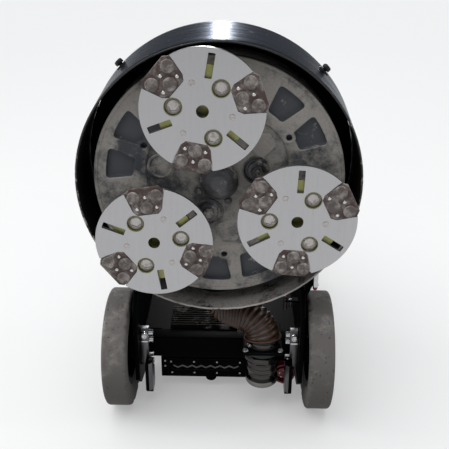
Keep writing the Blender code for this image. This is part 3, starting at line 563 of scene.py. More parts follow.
cast_iron = new_finish("dusty_cast_iron", (0.11, 0.11, 0.12), 0.7, gloss=0.3)
tree = cast_iron.node_tree
bare = use_group(tree, dust_group, {
    "Colour": (0.070, 0.075, 0.085, 1), "Roughness": 0.6, "Dust Colour": (0.350, 0.325, 0.295, 1),
    "Amount": 0.94, "Patch Scale": 11.0, "Softness": 0.20, "Speckle": 0.07})
stains = use_group(tree, dust_group, {
    "Colour": bare["Colour"], "Roughness": bare["Roughness"], "Dust Colour": (0.050, 0.054, 0.062, 1),
    "Amount": 0.24, "Patch Scale": 21.0, "Softness": 0.08, "Speckle": 0.05})
crust = use_group(tree, dust_group, {
    "Colour": stains["Colour"], "Roughness": stains["Roughness"], "Dust Colour": (0.33, 0.31, 0.285, 1),
    "Amount": 0.16, "Patch Scale": 34.0, "Softness": 0.08, "Speckle": 0.05})
pile = add_node(tree, "ShaderNodeMath", {0: bare["Height"], 1: crust["Height"]}, operation="ADD")
connect(cast_iron, crust["Colour"], crust["Roughness"], pile.outputs[0], 0.7, 0.0012)

# Painted shade: the window pockets, spindle wells and bores near the rim take a darker, less dusty iron for
# the shade inside them.
recess_shade_iron = new_finish("slate_iron_recess_shade", (0.05, 0.055, 0.065), 0.75, gloss=0.3)
tree = recess_shade_iron.node_tree
bare = use_group(tree, dust_group, {
    "Colour": (0.110, 0.117, 0.130, 1), "Roughness": 0.6, "Dust Colour": (0.300, 0.280, 0.255, 1),
    "Amount": 0.40, "Patch Scale": 24.0, "Softness": 0.10, "Speckle": 0.06})
connect(recess_shade_iron, bare["Colour"], bare["Roughness"], bare["Height"], 0.8, 0.0012)


def window_outline(middle):
    """A rounded window between two circles, centred on an angle."""
    inner_arc = [carrier_point(0.169, middle + away) for away in (-6.2, 0, 6.2)]
    outer_arc = [carrier_point(0.224, middle + away) for away in (8.3, 3.0, -3.0, -8.3)]
    points = inner_arc + outer_arc
    corners = (0, 2, 3, 6)
    return round_corners(points, [0.0085 if i in corners else 0.0 for i in range(len(points))], 6)


def ring_of(radius, sides, centre=(0, 0), start=0.0):
    return [(centre[0] + radius * math.sin(start + 2 * math.pi * i / sides),
             centre[1] + radius * math.cos(start + 2 * math.pi * i / sides)) for i in range(sides)]


windows = [window_outline(60 + 120 * third + half) for third in range(3) for half in (-11.2, 11.2)]
wells = [ring_of(0.030, 40, carrier_point(orbit, 120 * third)) for third in range(3)]
tapped = [ring_of(0.0062, 20, carrier_point(orbit, 66 + 120 * third)) for third in range(3)]
sunken = [carrier_point(0.137 - 0.013 * math.cos(math.radians(3 * turn)), turn) for turn in range(0, 360, 4)]
sunken_depth = 0.006
pockets = [(window, 0.013, 0.95) for window in windows] + [(well, 0.010, 0.96) for well in wells]
pockets += [(bore, 0.014, 0.9) for bore in tapped] + [(sunken, sunken_depth, 0.975)]


# Local X stays X, local Y becomes up, and local +Z faces the front.
front_place = Matrix.Rotation(right_angle, 4, "X")


def at_front(x, y, z):
    return Matrix.Translation((x, y, z)) @ front_place


face_at = at_front(0, carrier_face, head_height)
face = cut_plate(ring_of(carrier_radius, 192), 0.018, (), pockets, bevel=0.0016, segments=2)
# Faces deep in the pockets near the rim get the darker iron, as painted shade.
for each in face.faces:
    centre = each.calc_center_median()
    each.material_index = int(-0.016 < centre.z < -0.004 and centre.xy.length > 0.15)
bmesh.ops.transform(face, matrix=face_at, verts=face.verts)
drum = lathe([(carrier_radius - 0.012, -0.0175), (carrier_radius - 0.001, -0.0175),
              (carrier_radius - 0.001, -0.092), (0.060, -0.094), (0.060, -0.082),
              (carrier_radius - 0.012, -0.080)], 128, face_at, 0.001)
rings = []
for third in range(3):
    x, y = carrier_point(orbit, 66 + 120 * third)
    rings.append(lathe([(0.0066, -0.002), (0.0125, -0.002), (0.0125, 0.0014), (0.0066, 0.0014)], 40,
                       face_at @ Matrix.Translation((x, y, 0)), 0.0008))
rings.append(lathe([(carrier_radius - 0.0075, -0.002), (carrier_radius - 0.0005, -0.002),
                    (carrier_radius - 0.0005, 0.0016), (carrier_radius - 0.0075, 0.0016)], 192,
                   face_at, 0.001))
lands = []
for third in range(3):
    middle = 58 + 120 * third
    corners = [(0.092, -13), (0.118, -14), (0.138, -3), (0.132, 9), (0.094, 14)]
    land = round_corners([carrier_point(radius, middle + away) for radius, away in corners], 0.004)
    lands.append(cut_plate(land, 0.004, place=face_at @ Matrix.Translation((0, 0, 0.0035 - sunken_depth)),
                           bevel=0.0012))
add_piece("carrier_casting", joined([face, drum] + rings + lands), [cast_iron, recess_shade_iron], "carrier",
          ["carrier_disc"])


def metal_finish(name, colour, roughness, stretch, marks=0.12, dust_colour=(0.4, 0.37, 0.34), dust=0.1,
                 patch_scale=18.0, metallic=1.0):
    """Bare metal with brush marks that also break up its shine, and a little dust."""
    finish = new_finish(name, colour, roughness, metallic)
    tree = finish.node_tree
    brush_out = use_group(tree, brush_group, {"Stretch": stretch, "Depth": 1.0})
    tone = add_node(tree, "ShaderNodeMapRange", {
        "Value": brush_out["Value"], "From Min": 0.3, "From Max": 0.7,
        "To Min": 1 - marks, "To Max": 1 + marks})
    toned = add_node(tree, "ShaderNodeVectorMath", {0: colour, 1: tone.outputs[0]},
                     operation="MULTIPLY")
    shine = add_node(tree, "ShaderNodeMapRange", {
        "Value": brush_out["Value"], "From Min": 0.25, "From Max": 0.75,
        "To Min": roughness * 0.75, "To Max": roughness * 1.25})
    dust_out = use_group(tree, dust_group, {
        "Colour": toned.outputs[0], "Roughness": shine.outputs[0], "Dust Colour": (*dust_colour, 1),
        "Amount": dust, "Patch Scale": patch_scale})
    clean = add_node(tree, "ShaderNodeMath", {
        0: dust_out["Mask"], 1: -metallic, 2: metallic}, operation="MULTIPLY_ADD")
    connect(finish, dust_out["Colour"], dust_out["Roughness"], brush_out["Height"], 0.08, 0.0002,
            metallic=clean.outputs[0])
    return finish


# The hub cap is a spun steel dome over the end of the carrier's shaft.
worn_dark_steel = metal_finish("worn_dark_steel", (0.085, 0.085, 0.09), 0.45, (60.0, 60.0, 260.0), 0.30,
                               (0.16, 0.15, 0.14), 0.55, metallic=0.6)
hub_low, hub_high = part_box("carrier_hub_cap")
reach = hub_high.y - hub_low.y
cap = [(0, 0), (0.016, -0.0008), (0.028, -0.0040), (0.0355, -0.0095), (0.0385, -0.0150), (0.0388, -reach),
       (0, -reach)]
add_piece("hub_dome", lathe(cap, 96, at_front(0, hub_low.y, head_height), 0.003, 4), [worn_dark_steel],
          "carrier", ["carrier_hub_cap"])


def hexagon(across):
    return ring_of(across / math.sqrt(3), 6, start=math.pi / 6)


def hex_nut(across, height, bore, place):
    """A nut on local Z = 0 with its corners turned down by a chamfer."""
    nut = cut_plate(hexagon(across), height, [ring_of(bore, 24)], place=Matrix.Translation((0, 0, height)),
                    bevel=0.0004)
    for point in nut.verts:
        reach = point.co.xy.length
        if point.co.z > height * 0.7 and reach > across / 2:
            point.co.z -= (reach - across / 2) * 0.55
    bmesh.ops.transform(nut, matrix=place, verts=nut.verts)
    return nut


def threaded_stud(radius, length, place, pitch=0.0018):
    turns = int(length / pitch)
    outline = [(0, 0)]
    for i in range(turns):
        outline += [(radius, pitch * i), (radius * 0.86, pitch * (i + 0.5))]
    outline += [(radius * 0.8, length), (0, length)]
    return lathe(outline, 24, place)


# Belt tensioners: each turns on a stud, and a nut locks it in a turned cup.
tensioners = []
for radius, degrees in ((0.078, 83.4), (0.072, 206.0), (0.075, 323.5)):
    x, y = carrier_point(radius, degrees)
    at = face_at @ Matrix.Translation((x, y, -sunken_depth))
    tensioners.append(lathe([(0, -0.001), (0.029, -0.001), (0.029, 0.0045), (0.0255, 0.0045), (0.024, 0.001),
                             (0.019, 0.001), (0.018, 0.005), (0.0125, 0.0058), (0, 0.0058)], 64, at, 0.001))
    tensioners.append(hex_nut(0.019, 0.009, 0.0058, at @ Matrix.Translation((0, 0, 0.0058))
                              @ Matrix.Rotation(0.3 * degrees, 4, "Z")))
    tensioners.append(threaded_stud(0.0055, 0.020, at @ Matrix.Translation((0, 0, 0.003))))
for radius, degrees in ((0.0475, 249.9), (0.0475, 167.2), (0.0475, 12.0)):
    x, y = carrier_point(radius, degrees)
    at = face_at @ Matrix.Translation((x, y, -sunken_depth))
    tensioners.append(lathe([(0, 0), (0.0085, 0), (0.0085, 0.0015), (0, 0.0015)], 32, at, 0.0005))
    tensioners.append(hex_nut(0.011, 0.0055, 0.0028, at @ Matrix.Translation((0, 0, 0.0014))))
    tensioners.append(lathe([(0, 0), (0.0028, 0), (0.0028, 0.0058), (0, 0.0058)], 24, at))
add_piece("belt_tensioners", joined(tensioners), [worn_dark_steel], "carrier")

# A round inspection cap whose hollow has filled with swirls of dried slurry.
x, y = carrier_point(0.119, 293.4)
cap_at = face_at @ Matrix.Translation((x, y, -sunken_depth))
cap = lathe([(0, -0.001), (0.026, -0.001), (0.026, 0.004), (0.0215, 0.005), (0.019, 0.0015), (0.009, 0.0012),
             (0.0045, 0.0012), (0, 0.0012)], 72, Matrix.Identity(4), 0.0008)
bmesh.ops.subdivide_edges(cap, edges=[edge for edge in cap.edges if edge.calc_length() > 0.006
                                      and edge.verts[0].co.z > 0 and edge.verts[1].co.z > 0], cuts=7,
                          use_grid_fill=True)
for point in cap.verts:
    if point.co.z > 0.0005 and point.co.xy.length < 0.0185:
        swirl = noise.noise(point.co * 190) + 0.6 * noise.noise(point.co * 420)
        point.co.z += 0.0022 * max(0.0, 1 - abs(swirl) * 5) * (1 - point.co.xy.length / 0.0200)
bmesh.ops.transform(cap, matrix=cap_at, verts=cap.verts)
add_piece("inspection_cap", cap, [cast_iron], "carrier")

# ---- grinding plates -----------------------------------------------------------------------------
# Each plate is a ground steel disc on a yellow zinc-plated holder. Three sunk cap screws hold
# it, three slots and three flush screws take other tools, and three pads slide into its edge.
plate_steel = metal_finish("ground_plate_steel", (0.42, 0.418, 0.425), 0.34, (140.0, 140.0, 18.0), 0.05,
                           (0.38, 0.36, 0.34), 0.05, 30.0)
polished_steel = metal_finish("polished_steel", (0.55, 0.545, 0.54), 0.24, (220.0, 220.0, 220.0), 0.12,
                              (0.36, 0.33, 0.30), 0.22, 60.0)
screw_steel = metal_finish("dusty_screw_steel", (0.42, 0.40, 0.385), 0.34, (300.0, 300.0, 300.0), 0.15,
                           (0.36, 0.33, 0.31), 0.42, 90.0)
dusty_ring = coated_finish("dusty_screw_ring", (0.30, 0.265, 0.240), 0.6, 0.3, (0.42, 0.40, 0.38), 0.6,
                           (0.36, 0.32, 0.29), 0.5, 60.0)
zinc_plate = new_finish("yellow_zinc_plate", (0.26, 0.27, 0.13), 0.38, 0.8)
tree = zinc_plate.node_tree
hue = add_node(tree, "ShaderNodeTexNoise", {
    "Vector": add_node(tree, "ShaderNodeTexCoord").outputs["Object"], "Scale": 55.0, "Detail": 5.0})
tarnish = add_node(tree, "ShaderNodeMix", {
    0: hue.outputs["Fac"], 6: (0.32, 0.33, 0.12, 1), 7: (0.17, 0.16, 0.075, 1)}, data_type="RGBA")
film = use_group(tree, dust_group, {
    "Colour": tarnish.outputs[2], "Roughness": 0.38, "Dust Colour": (0.22, 0.20, 0.16, 1), "Amount": 0.35,
    "Patch Scale": 40.0})
connect(zinc_plate, film["Colour"], film["Roughness"], film["Height"], 0.4, 0.0005)
for third in (1, 2, 3):
    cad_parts["spindle_holder_%d" % third].data.materials[0] = zinc_plate

segment_bond = new_finish("worn_segment", (0.2, 0.18, 0.17), 0.7)
pad_bond = new_finish("dusty_pad_body", (0.1, 0.08, 0.07), 0.8)
for finish, under, amount, scale in ((pad_bond, (0.090, 0.058, 0.052, 1), 0.80, 34.0),
                                     (segment_bond, (0.150, 0.128, 0.118, 1), 0.85, 60.0)):
    tree = finish.node_tree
    rust = use_group(tree, dust_group, {
        "Colour": under, "Roughness": 0.65, "Dust Colour": (0.085, 0.045, 0.036, 1), "Amount": 0.45,
        "Patch Scale": 50.0, "Softness": 0.2, "Speckle": 0.05})
    caked = use_group(tree, dust_group, {
        "Colour": rust["Colour"], "Roughness": rust["Roughness"], "Dust Colour": (0.330, 0.275, 0.250, 1),
        "Amount": amount, "Patch Scale": scale, "Softness": 0.26, "Speckle": 0.05})
    grit = add_node(tree, "ShaderNodeTexVoronoi", {
        "Vector": add_node(tree, "ShaderNodeTexCoord").outputs["Object"], "Scale": 700.0})
    rough_top = add_node(tree, "ShaderNodeMath", {
        0: grit.outputs["Distance"], 1: 0.5, 2: caked["Height"]}, operation="MULTIPLY_ADD")
    connect(finish, caked["Colour"], caked["Roughness"], rough_top.outputs[0], 0.9, 0.0012)


def turned_outline(points, degrees):
    """Points turned clockwise from straight up."""
    turn = Matrix.Rotation(-math.radians(degrees), 2)
    return [tuple(turn @ Vector(point)) for point in points]


plate_radius, plate_thickness, face_layer = 0.115, 0.008, 0.0052
plate_turns = (9.6, 2.4, 50.7)
bolt_circle, bolt_hole, bolt_head, bolt_socket = 0.0535, 0.017, 0.0152, 0.0172
bolt_angle, pad_angle, flush_angle = 29, 61, 91
pad_inner, pad_outer, pad_narrow, pad_wide, pad_cut = 0.0615, 0.1165, 0.0275, 0.0365, 0.008
segment_radius, segment_proud = 0.0125, 0.005


def cap_screw(radius, height, across, depth, place):
    """A cylinder head with a hexagon socket, standing on local Z = 0."""
    head_top = cut_plate(ring_of(radius, 48), height, (), [(hexagon(across), depth, 1.0)],
                         Matrix.Translation((0, 0, height)), bevel=radius * 0.06)
    bmesh.ops.transform(head_top, matrix=place, verts=head_top.verts)
    return head_top


slot = round_corners([(-0.0063, 0.0604), (0.0063, 0.0604), (0.0063, 0.1055), (-0.0063, 0.1055)], 0.0018, 3)
for number, turn in enumerate(plate_turns, 1):
    holder_low, holder_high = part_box("spindle_holder_%d" % number)
    plate_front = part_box("grinding_plate_%d" % number)[0].y
    axis_x, axis_z = (holder_low.x + holder_high.x) / 2, (holder_low.z + holder_high.z) / 2
    plate_at = at_front(axis_x, plate_front, axis_z) @ Matrix.Rotation(-math.radians(turn), 4, "Z")
    body = "head_%d" % number

    holes = [ring_of(0.0115, 40)]
    for third in range(3):
        holes.append(turned_outline(slot, 120 * third))
        holes.append(turned_outline(ring_of(bolt_hole, 40, (0, bolt_circle)), 120 * third + bolt_angle))
    outline = []
    room = 0.0007
    for third in range(3):
        middle = 120 * third + pad_angle
        half = math.degrees(math.asin((pad_wide + 0.0022) / plate_radius))
        notch = [(-pad_wide - 0.0022, plate_radius * math.cos(math.radians(half))),
                 (-pad_narrow - room, pad_inner + pad_cut), (-pad_narrow + pad_cut - room, pad_inner - room),
                 (pad_narrow - pad_cut + room, pad_inner - room), (pad_narrow + room, pad_inner + pad_cut),
                 (pad_wide + 0.0022, plate_radius * math.cos(math.radians(half)))]
        outline += turned_outline(notch, middle)
        arc_start, arc_end = middle + half, middle + 120 - half
        steps = 30
        for i in range(1, steps):
            away = math.radians(arc_start + (arc_end - arc_start) * i / steps)
            outline.append((plate_radius * math.sin(away), plate_radius * math.cos(away)))
    front_layer = cut_plate(outline, face_layer, holes, bevel=0.0005)
    back_layer = cut_plate(ring_of(plate_radius - 0.0004, 144), plate_thickness - face_layer - 0.0001, holes,
                           place=Matrix.Translation((0, 0, -face_layer - 0.0001)))
    plate = joined([front_layer, back_layer])
    bmesh.ops.transform(plate, matrix=plate_at, verts=plate.verts)
    add_piece("plate_disc_%d" % number, plate, [plate_steel], body,
              ["grinding_plate_%d" % number])

    bolts, rings, bushes = [], [], []
    for third in range(3):
        x, y = turned_outline([(0, bolt_circle)], 120 * third + bolt_angle)[0]
        at = plate_at @ Matrix.Translation((x, y, -plate_thickness + 0.0003))
        spin = Matrix.Rotation(0.7 * number + 1.3 * third, 4, "Z")
        bolts.append(cap_screw(bolt_head, 0.0022, bolt_socket, 0.0019, at @ spin))
        rings.append(lathe([(0.0098, 0), (0.0146, 0), (0.0140, 0.0026), (0.0104, 0.0026)], 40, at, 0.0004))
        bushes.append(lathe([(0.0160, 0), (0.01685, 0), (0.01685, 0.0070), (0.0160, 0.0070)], 40, at))
        x, y = turned_outline([(0, 0.0545)], 120 * third + flush_angle)[0]
        at = plate_at @ Matrix.Translation((x, y, -0.0012))
        bolts.append(lathe([(0, 0), (0.0060, 0), (0.0060, 0.0015), (0.0049, 0.0019), (0.0044, 0.0014),
                            (0, 0.0014)], 32, at, 0.0003))
    add_piece("plate_screws_%d" % number, joined(bolts), [screw_steel], body)
    add_piece("screw_rings_%d" % number, joined(rings), [dusty_ring], body)
    add_piece("plate_bushes_%d" % number, joined(bushes), [zinc_plate], body)

    # A pad is a sintered steel foot with three diamond segments and three small screws.
    for third in range(3):
        name = "%d_%d" % (number, third + 1)
        pad_at = plate_at @ Matrix.Rotation(-math.radians(120 * third + pad_angle), 4, "Z")
        half_outline = [(pad_narrow - pad_cut, pad_inner), (pad_narrow, pad_inner + pad_cut),
                        (pad_wide, pad_outer - pad_cut), (pad_wide - pad_cut, pad_outer)]
        corners = half_outline + [(-x, y) for x, y in reversed(half_outline)]
        foot = cut_plate(round_corners(corners, 0.0025, 3), 0.0052, bevel=0.0007,
                         place=Matrix.Translation((0, 0, 0.0006)))
        top = [face for face in foot.faces if face.normal.z > 0.9]
        bmesh.ops.subdivide_edges(foot, edges=list({edge for face in top for edge in face.edges
                                                    if edge.calc_length() > 0.004}), cuts=5,
                                  use_grid_fill=True)
        for point in foot.verts:
            if point.co.z > 0.0004:
                point.co.z += (0.0009 * noise.noise(point.co * 210 + Vector((number, third, 0)))
                               + 0.0004 * noise.noise(point.co * 520))
        shapes = [foot]
        segments = []
        for place, (x, y) in enumerate(((0, 0.0752), (-0.0220, 0.0985), (0.0220, 0.0985))):
            worn_top = segment_proud - 0.0012 * ((number + third + place) % 3) / 2
            segment = lathe([(0, -0.002), (segment_radius, -0.002), (segment_radius, worn_top - 0.0010),
                             (segment_radius - 0.0012, worn_top), (segment_radius * 0.62, worn_top - 0.0003),
                             (segment_radius * 0.3, worn_top - 0.0006), (0, worn_top - 0.0006)], 36,
                            Matrix.Translation((x, y, 0)))
            for point in segment.verts:
                if point.co.z > 0:
                    lump = noise.noise(point.co * 330 + Vector((0, number, place)))
                    point.co.z += 0.0009 * lump
                    point.co.xy += (point.co.xy - Vector((x, y))) * 0.05 * lump
            segment_faces = segment.faces
            for face in segment_faces:
                face.material_index = 1
            segments.append(segment)
        shape = joined(shapes + segments)
        bmesh.ops.transform(shape, matrix=pad_at, verts=shape.verts)
        add_piece("pad_" + name, shape, [pad_bond, segment_bond], body,
                  ["diamond_pad_" + name])
        screws = [lathe([(0, 0), (0.0034, 0), (0.0034, 0.0012), (0.0022, 0.0021), (0, 0.0021)], 20,
                        pad_at @ Matrix.Translation((x, y, 0.0008)), 0.0003)
                  for x, y in ((-0.0190, 0.0745), (0.0190, 0.0745), (0, 0.0970))]
        add_piece("pad_screws_" + name, joined(screws), [polished_steel], body)

# ---- wheels --------------------------------------------------------------------------------------
# Solid grey rubber tyres pressed on black rims. The tread is pocked by grit, and the inner
# shoulder of each is chewed where it rubs along the side plate.
tyre_rubber = new_finish("grey_tyre_rubber", (0.2, 0.19, 0.18), 0.85, gloss=0.2)
tree = tyre_rubber.node_tree
scuff = use_group(tree, dust_group, {
    "Colour": (0.155, 0.145, 0.136, 1), "Roughness": 0.8, "Dust Colour": (0.225, 0.213, 0.203, 1),
    "Amount": 0.55, "Patch Scale": 16.0, "Softness": 0.35, "Speckle": 0.10})
stain = use_group(tree, dust_group, {
    "Colour": scuff["Colour"], "Roughness": scuff["Roughness"], "Dust Colour": (0.105, 0.097, 0.090, 1),
    "Amount": 0.28, "Patch Scale": 40.0, "Softness": 0.25, "Speckle": 0.10})
crumbs = add_node(tree, "ShaderNodeTexNoise", {
    "Vector": add_node(tree, "ShaderNodeTexCoord").outputs["Object"], "Scale": 420.0, "Detail": 5.0,
    "Roughness": 0.7})
pits = add_node(tree, "ShaderNodeTexVoronoi", {
    "Vector": add_node(tree, "ShaderNodeTexCoord").outputs["Object"], "Scale": 70.0, "Randomness": 1.0})
pit_edge = add_node(tree, "ShaderNodeMapRange", {
    "Value": pits.outputs["Distance"], "From Min": 0.13, "From Max": 0.20})
pit_dark = add_node(tree, "ShaderNodeMix", {
    0: pit_edge.outputs[0], 6: (0.035, 0.032, 0.030, 1), 7: stain["Colour"]}, data_type="RGBA")
some_pits = add_node(tree, "ShaderNodeMapRange", {
    "Value": crumbs.outputs["Fac"], "From Min": 0.50, "From Max": 0.54})
tyre_colour = add_node(tree, "ShaderNodeMix", {
    0: some_pits.outputs[0], 6: stain["Colour"], 7: pit_dark.outputs[2]}, data_type="RGBA")
connect(tyre_rubber, tyre_colour.outputs[2], stain["Roughness"], crumbs.outputs["Fac"], 0.5, 0.0006)

# The rims and most of the chassis have one black enamel with almost no sheen.
black_enamel = coated_finish("black_enamel", (0.0025, 0.0028, 0.0032), 0.40, 0.08, (0.07, 0.07, 0.07), 0.5,
                             (0.06, 0.057, 0.054), 0.08)
black_enamel.node_tree.nodes["Principled BSDF"].inputs["IOR"].default_value = 1.15

wheel_radius = 0.133
for side, name in ((-1, "left"), (1, "right")):
    rim_low, rim_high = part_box("wheel_rim_" + name)
    tyre_low, tyre_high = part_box("wheel_tyre_" + name)
    axle_y, axle_z = (rim_low.y + rim_high.y) / 2, (rim_low.z + rim_high.z) / 2
    near, far = sorted((abs(tyre_low.x), abs(tyre_high.x)))
    width = far - near
    bead = 0.0863
    tread = [(wheel_radius, 0.006 + (width - 0.012) * i / 28) for i in range(29)]
    side_in = [(bead + (wheel_radius - 0.008 - bead) * i / 16, 0.004 * (1 - i / 16) ** 2) for i in range(17)]
    shoulder_in = [(wheel_radius - 0.0062, 0.0001), (wheel_radius - 0.0042, 0.0006),
                   (wheel_radius - 0.0018, 0.0020), (wheel_radius - 0.0005, 0.0040)]
    outline = side_in + shoulder_in + tread
    outline += [(r, width - h) for r, h in reversed(side_in + shoulder_in)]
    tyre = lathe(outline, 420)
    random.seed(11 if side < 0 else 23)
    dents = []
    for _ in range(90):
        turn, across = random.uniform(0, 2 * math.pi), random.uniform(0.004, width - 0.004)
        dents.append((Vector((wheel_radius * math.cos(turn), wheel_radius * math.sin(turn), across)),
                      random.uniform(0.0013, 0.0034), random.uniform(0.0005, 0.0016)))
    chew = 0.0045 if side < 0 else 0.0075
    for point in tyre.verts:
        reach = point.co.xy.length
        turn = math.atan2(point.co.y, point.co.x)
        edge = max(0.0, 1 - point.co.z / 0.009) * max(0.0, min(1, (reach - 0.108) / 0.018))
        tear = noise.noise(Vector((math.cos(turn) * 9, math.sin(turn) * 9, side * 3)))
        tear += 0.5 * noise.noise(Vector((math.cos(turn) * 34, math.sin(turn) * 34, point.co.z * 300)))
        bite = edge * chew * max(0.0, tear + 0.15)
        point.co.xy *= 1 - bite / max(reach, 0.01)
        point.co.z += 0.6 * bite
        reach_ease = 0.00025 * noise.noise(point.co * 60)
        point.co.xy *= 1 + reach_ease / max(reach, 0.01)
    for centre, size, deep in dents:
        for point in tyre.verts:
            gap = point.co - centre
            if abs(gap.x) < size and abs(gap.y) < size and gap.length < size:
                point.co.xy *= 1 - deep * (1 - gap.length / size) ** 0.5 / wheel_radius
    bmesh.ops.transform(tyre, matrix=facing((side, 0, 0), (side * near, axle_y, axle_z)), verts=tyre.verts)
    add_piece("tyre_" + name, tyre, [tyre_rubber], "wheel_" + name, ["wheel_tyre_" + name])

    # The rim: a pressed black disc with a hub, a lip against the tyre and five bolts.
    hub_near, hub_far = sorted((abs(rim_low.x), abs(rim_high.x)))
    span = hub_far - hub_near
    offset = near - hub_near
    outline = [(0.0129, 0), (0.030, 0), (0.030, offset + 0.014), (0.040, offset + 0.018),
               (0.066, offset + 0.014), (0.074, offset + 0.006), (0.0855, offset + 0.004),
               (0.0859, offset + width - 0.004), (0.074, offset + width - 0.006),
               (0.066, offset + width - 0.016), (0.040, offset + width - 0.020),
               (0.030, offset + width - 0.014), (0.030, span), (0.0129, span)]
    disc_at = facing((side, 0, 0), (side * hub_near, axle_y, axle_z))
    shapes = [lathe(outline, 128, disc_at, 0.002)]
    add_piece("rim_" + name, joined(shapes), [black_enamel], "wheel_" + name,
              ["wheel_rim_" + name])
    nuts = []
    for fifth in range(5):
        x, y = ring_of(0.052, 5)[fifth]
        at = disc_at @ Matrix.Translation((x, y, offset + width - 0.0185))
        nuts.append(lathe([(0, 0), (0.0085, 0), (0.0085, 0.0015), (0, 0.0015)], 32, at, 0.0004))
        nuts.append(hex_nut(0.013, 0.007, 0.0036, at @ Matrix.Translation((0, 0, 0.0015))))
        nuts.append(threaded_stud(0.0035, 0.0105, at @ Matrix.Translation((0, 0, 0.0012))))
    add_piece("rim_nuts_" + name, joined(nuts), [polished_steel], "wheel_" + name)
    axle_low, axle_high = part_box("stub_axle_" + name)
    reach = max(abs(axle_low.x), abs(axle_high.x))
    start = min(abs(axle_low.x), abs(axle_high.x))
    outline = [(0, 0), (0.0124, 0), (0.0124, reach - start - 0.006), (0.020, reach - start - 0.006),
               (0.020, reach - start - 0.001), (0.017, reach - start), (0, reach - start)]
    axle = lathe(outline, 64, facing((side, 0, 0), (side * start, axle_y, axle_z)), 0.0008)
    add_piece("axle_" + name, axle, [polished_steel], "chassis", ["stub_axle_" + name])

# ---- chassis plates, beam and stops --------------------------------------------------------------
# Thick flat plate, flame cut and painted black. Clamp plates and stop bars are bare ground
# steel bolted to it. The beam is square tube, and each piece here has its cut edges eased.


def eased_copy(node, width, segments=2, least_turn=0.6):
    """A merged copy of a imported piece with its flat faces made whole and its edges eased."""
    shape = bmesh.new()
    shape.from_mesh(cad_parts[node].data)
    bmesh.ops.remove_doubles(shape, verts=shape.verts, dist=1e-5)
    bmesh.ops.dissolve_limit(shape, angle_limit=math.radians(1), verts=shape.verts, edges=shape.edges)
    for face in shape.faces:
        face.material_index = 0
    ease_edges(shape, width, segments, least_turn)
    for edge in shape.edges:
        edge.smooth = len(edge.link_faces) == 2 and edge.calc_face_angle(0) < 0.36
    return shape


ground_bar = metal_finish("ground_bar_steel", (0.125, 0.125, 0.13), 0.38, (40.0, 300.0, 30.0), 0.18,
                          (0.14, 0.13, 0.12), 0.25)
for name in ("left", "right"):
    side_plate = eased_copy("side_plate_" + name, 0.0012)
    add_piece("frame_plate_" + name, side_plate, [black_enamel], "chassis",
              ["side_plate_" + name])
    add_piece("clamp_block_" + name, eased_copy("clamp_plate_" + name, 0.0010), [ground_bar], "chassis",
              ["clamp_plate_" + name])
    stop = eased_copy("stop_bar_" + name, 0.0012)
    bar_middle = 0.158 if name == "right" else -0.158
    bmesh.ops.bisect_plane(stop, geom=[*stop.verts, *stop.edges, *stop.faces], dist=1e-6,
                           plane_co=(bar_middle, 0, 0), plane_no=(1, 0, 0))
    for point in stop.verts:
        if point.co.y < rim + 0.036:
            point.co.y += max(0, 0.158 - abs(point.co.x)) * 0.9
    stop.normal_update()
    for face in stop.faces:
        face.material_index = int(abs(face.normal.x) < 0.4)
    add_piece("stop_foot_" + name, stop, [ground_bar, black_enamel], "chassis",
              ["stop_bar_" + name])
    add_piece("head_lug_" + name, eased_copy("head_mount_" + name, 0.0015), [black_enamel], "chassis",
              ["head_mount_" + name])
add_piece("beam_tube", eased_copy("cross_beam", 0.0012), [black_enamel], "chassis",
          ["cross_beam"])

# Cap screws through the clamp blocks, and a pinch bolt in the top of each.
screws = []
for side in (-1, 1):
    inner_face = 0.160
    for height in (0.175, 0.156, 0.118, 0.099):
        at = facing((-side, 0, 0), (side * inner_face, rim + 0.073, height))
        screws.append(lathe([(0.0066, 0), (0.0078, 0), (0.0078, 0.0014), (0.0066, 0.0014)], 32, at, 0.0003))
        screws.append(cap_screw(0.0064, 0.0092, 0.0058, 0.005, at @ Matrix.Translation((0, 0, 0.0008))
                                @ Matrix.Rotation(height * 40, 4, "Z")))
    at = facing((0, -1, 0), (side * 0.1690, rim + 0.0605, 0.1765))
    screws.append(lathe([(0, 0), (0.0082, 0), (0.0082, 0.0022), (0, 0.0022)], 40, at, 0.0005))
    screws.append(hex_nut(0.013, 0.0068, 0.0040, at @ Matrix.Translation((0, 0, 0.0022))))
    screws.append(lathe([(0, 0), (0.0040, 0), (0.0036, 0.0085), (0, 0.0085)], 24, at))
    screws.append(cut_plate(round_corners([(-0.0085, -0.0022), (0.0085, -0.0022), (0.0085, 0.0022),
                                           (-0.0085, 0.0022)], 0.0012), 0.003, bevel=0.0004,
                            place=at @ Matrix.Translation((0, -0.0165, 0.0026))))
chrome = metal_finish("bright_chrome", (0.46, 0.46, 0.475), 0.16, (150.0, 150.0, 150.0), 0.06,
                      (0.3, 0.28, 0.26), 0.06, 60.0)
add_piece("clamp_screws", joined(screws), [chrome], "chassis")

# ---- dust hose -----------------------------------------------------------------------------------
# Brown polyurethane spiral hose from the port under the band to the coupling. A steel
# helix stands out as ribs, which crowd together on the inside of each bend. Its colours are darkened as
# painted shade under the shroud.


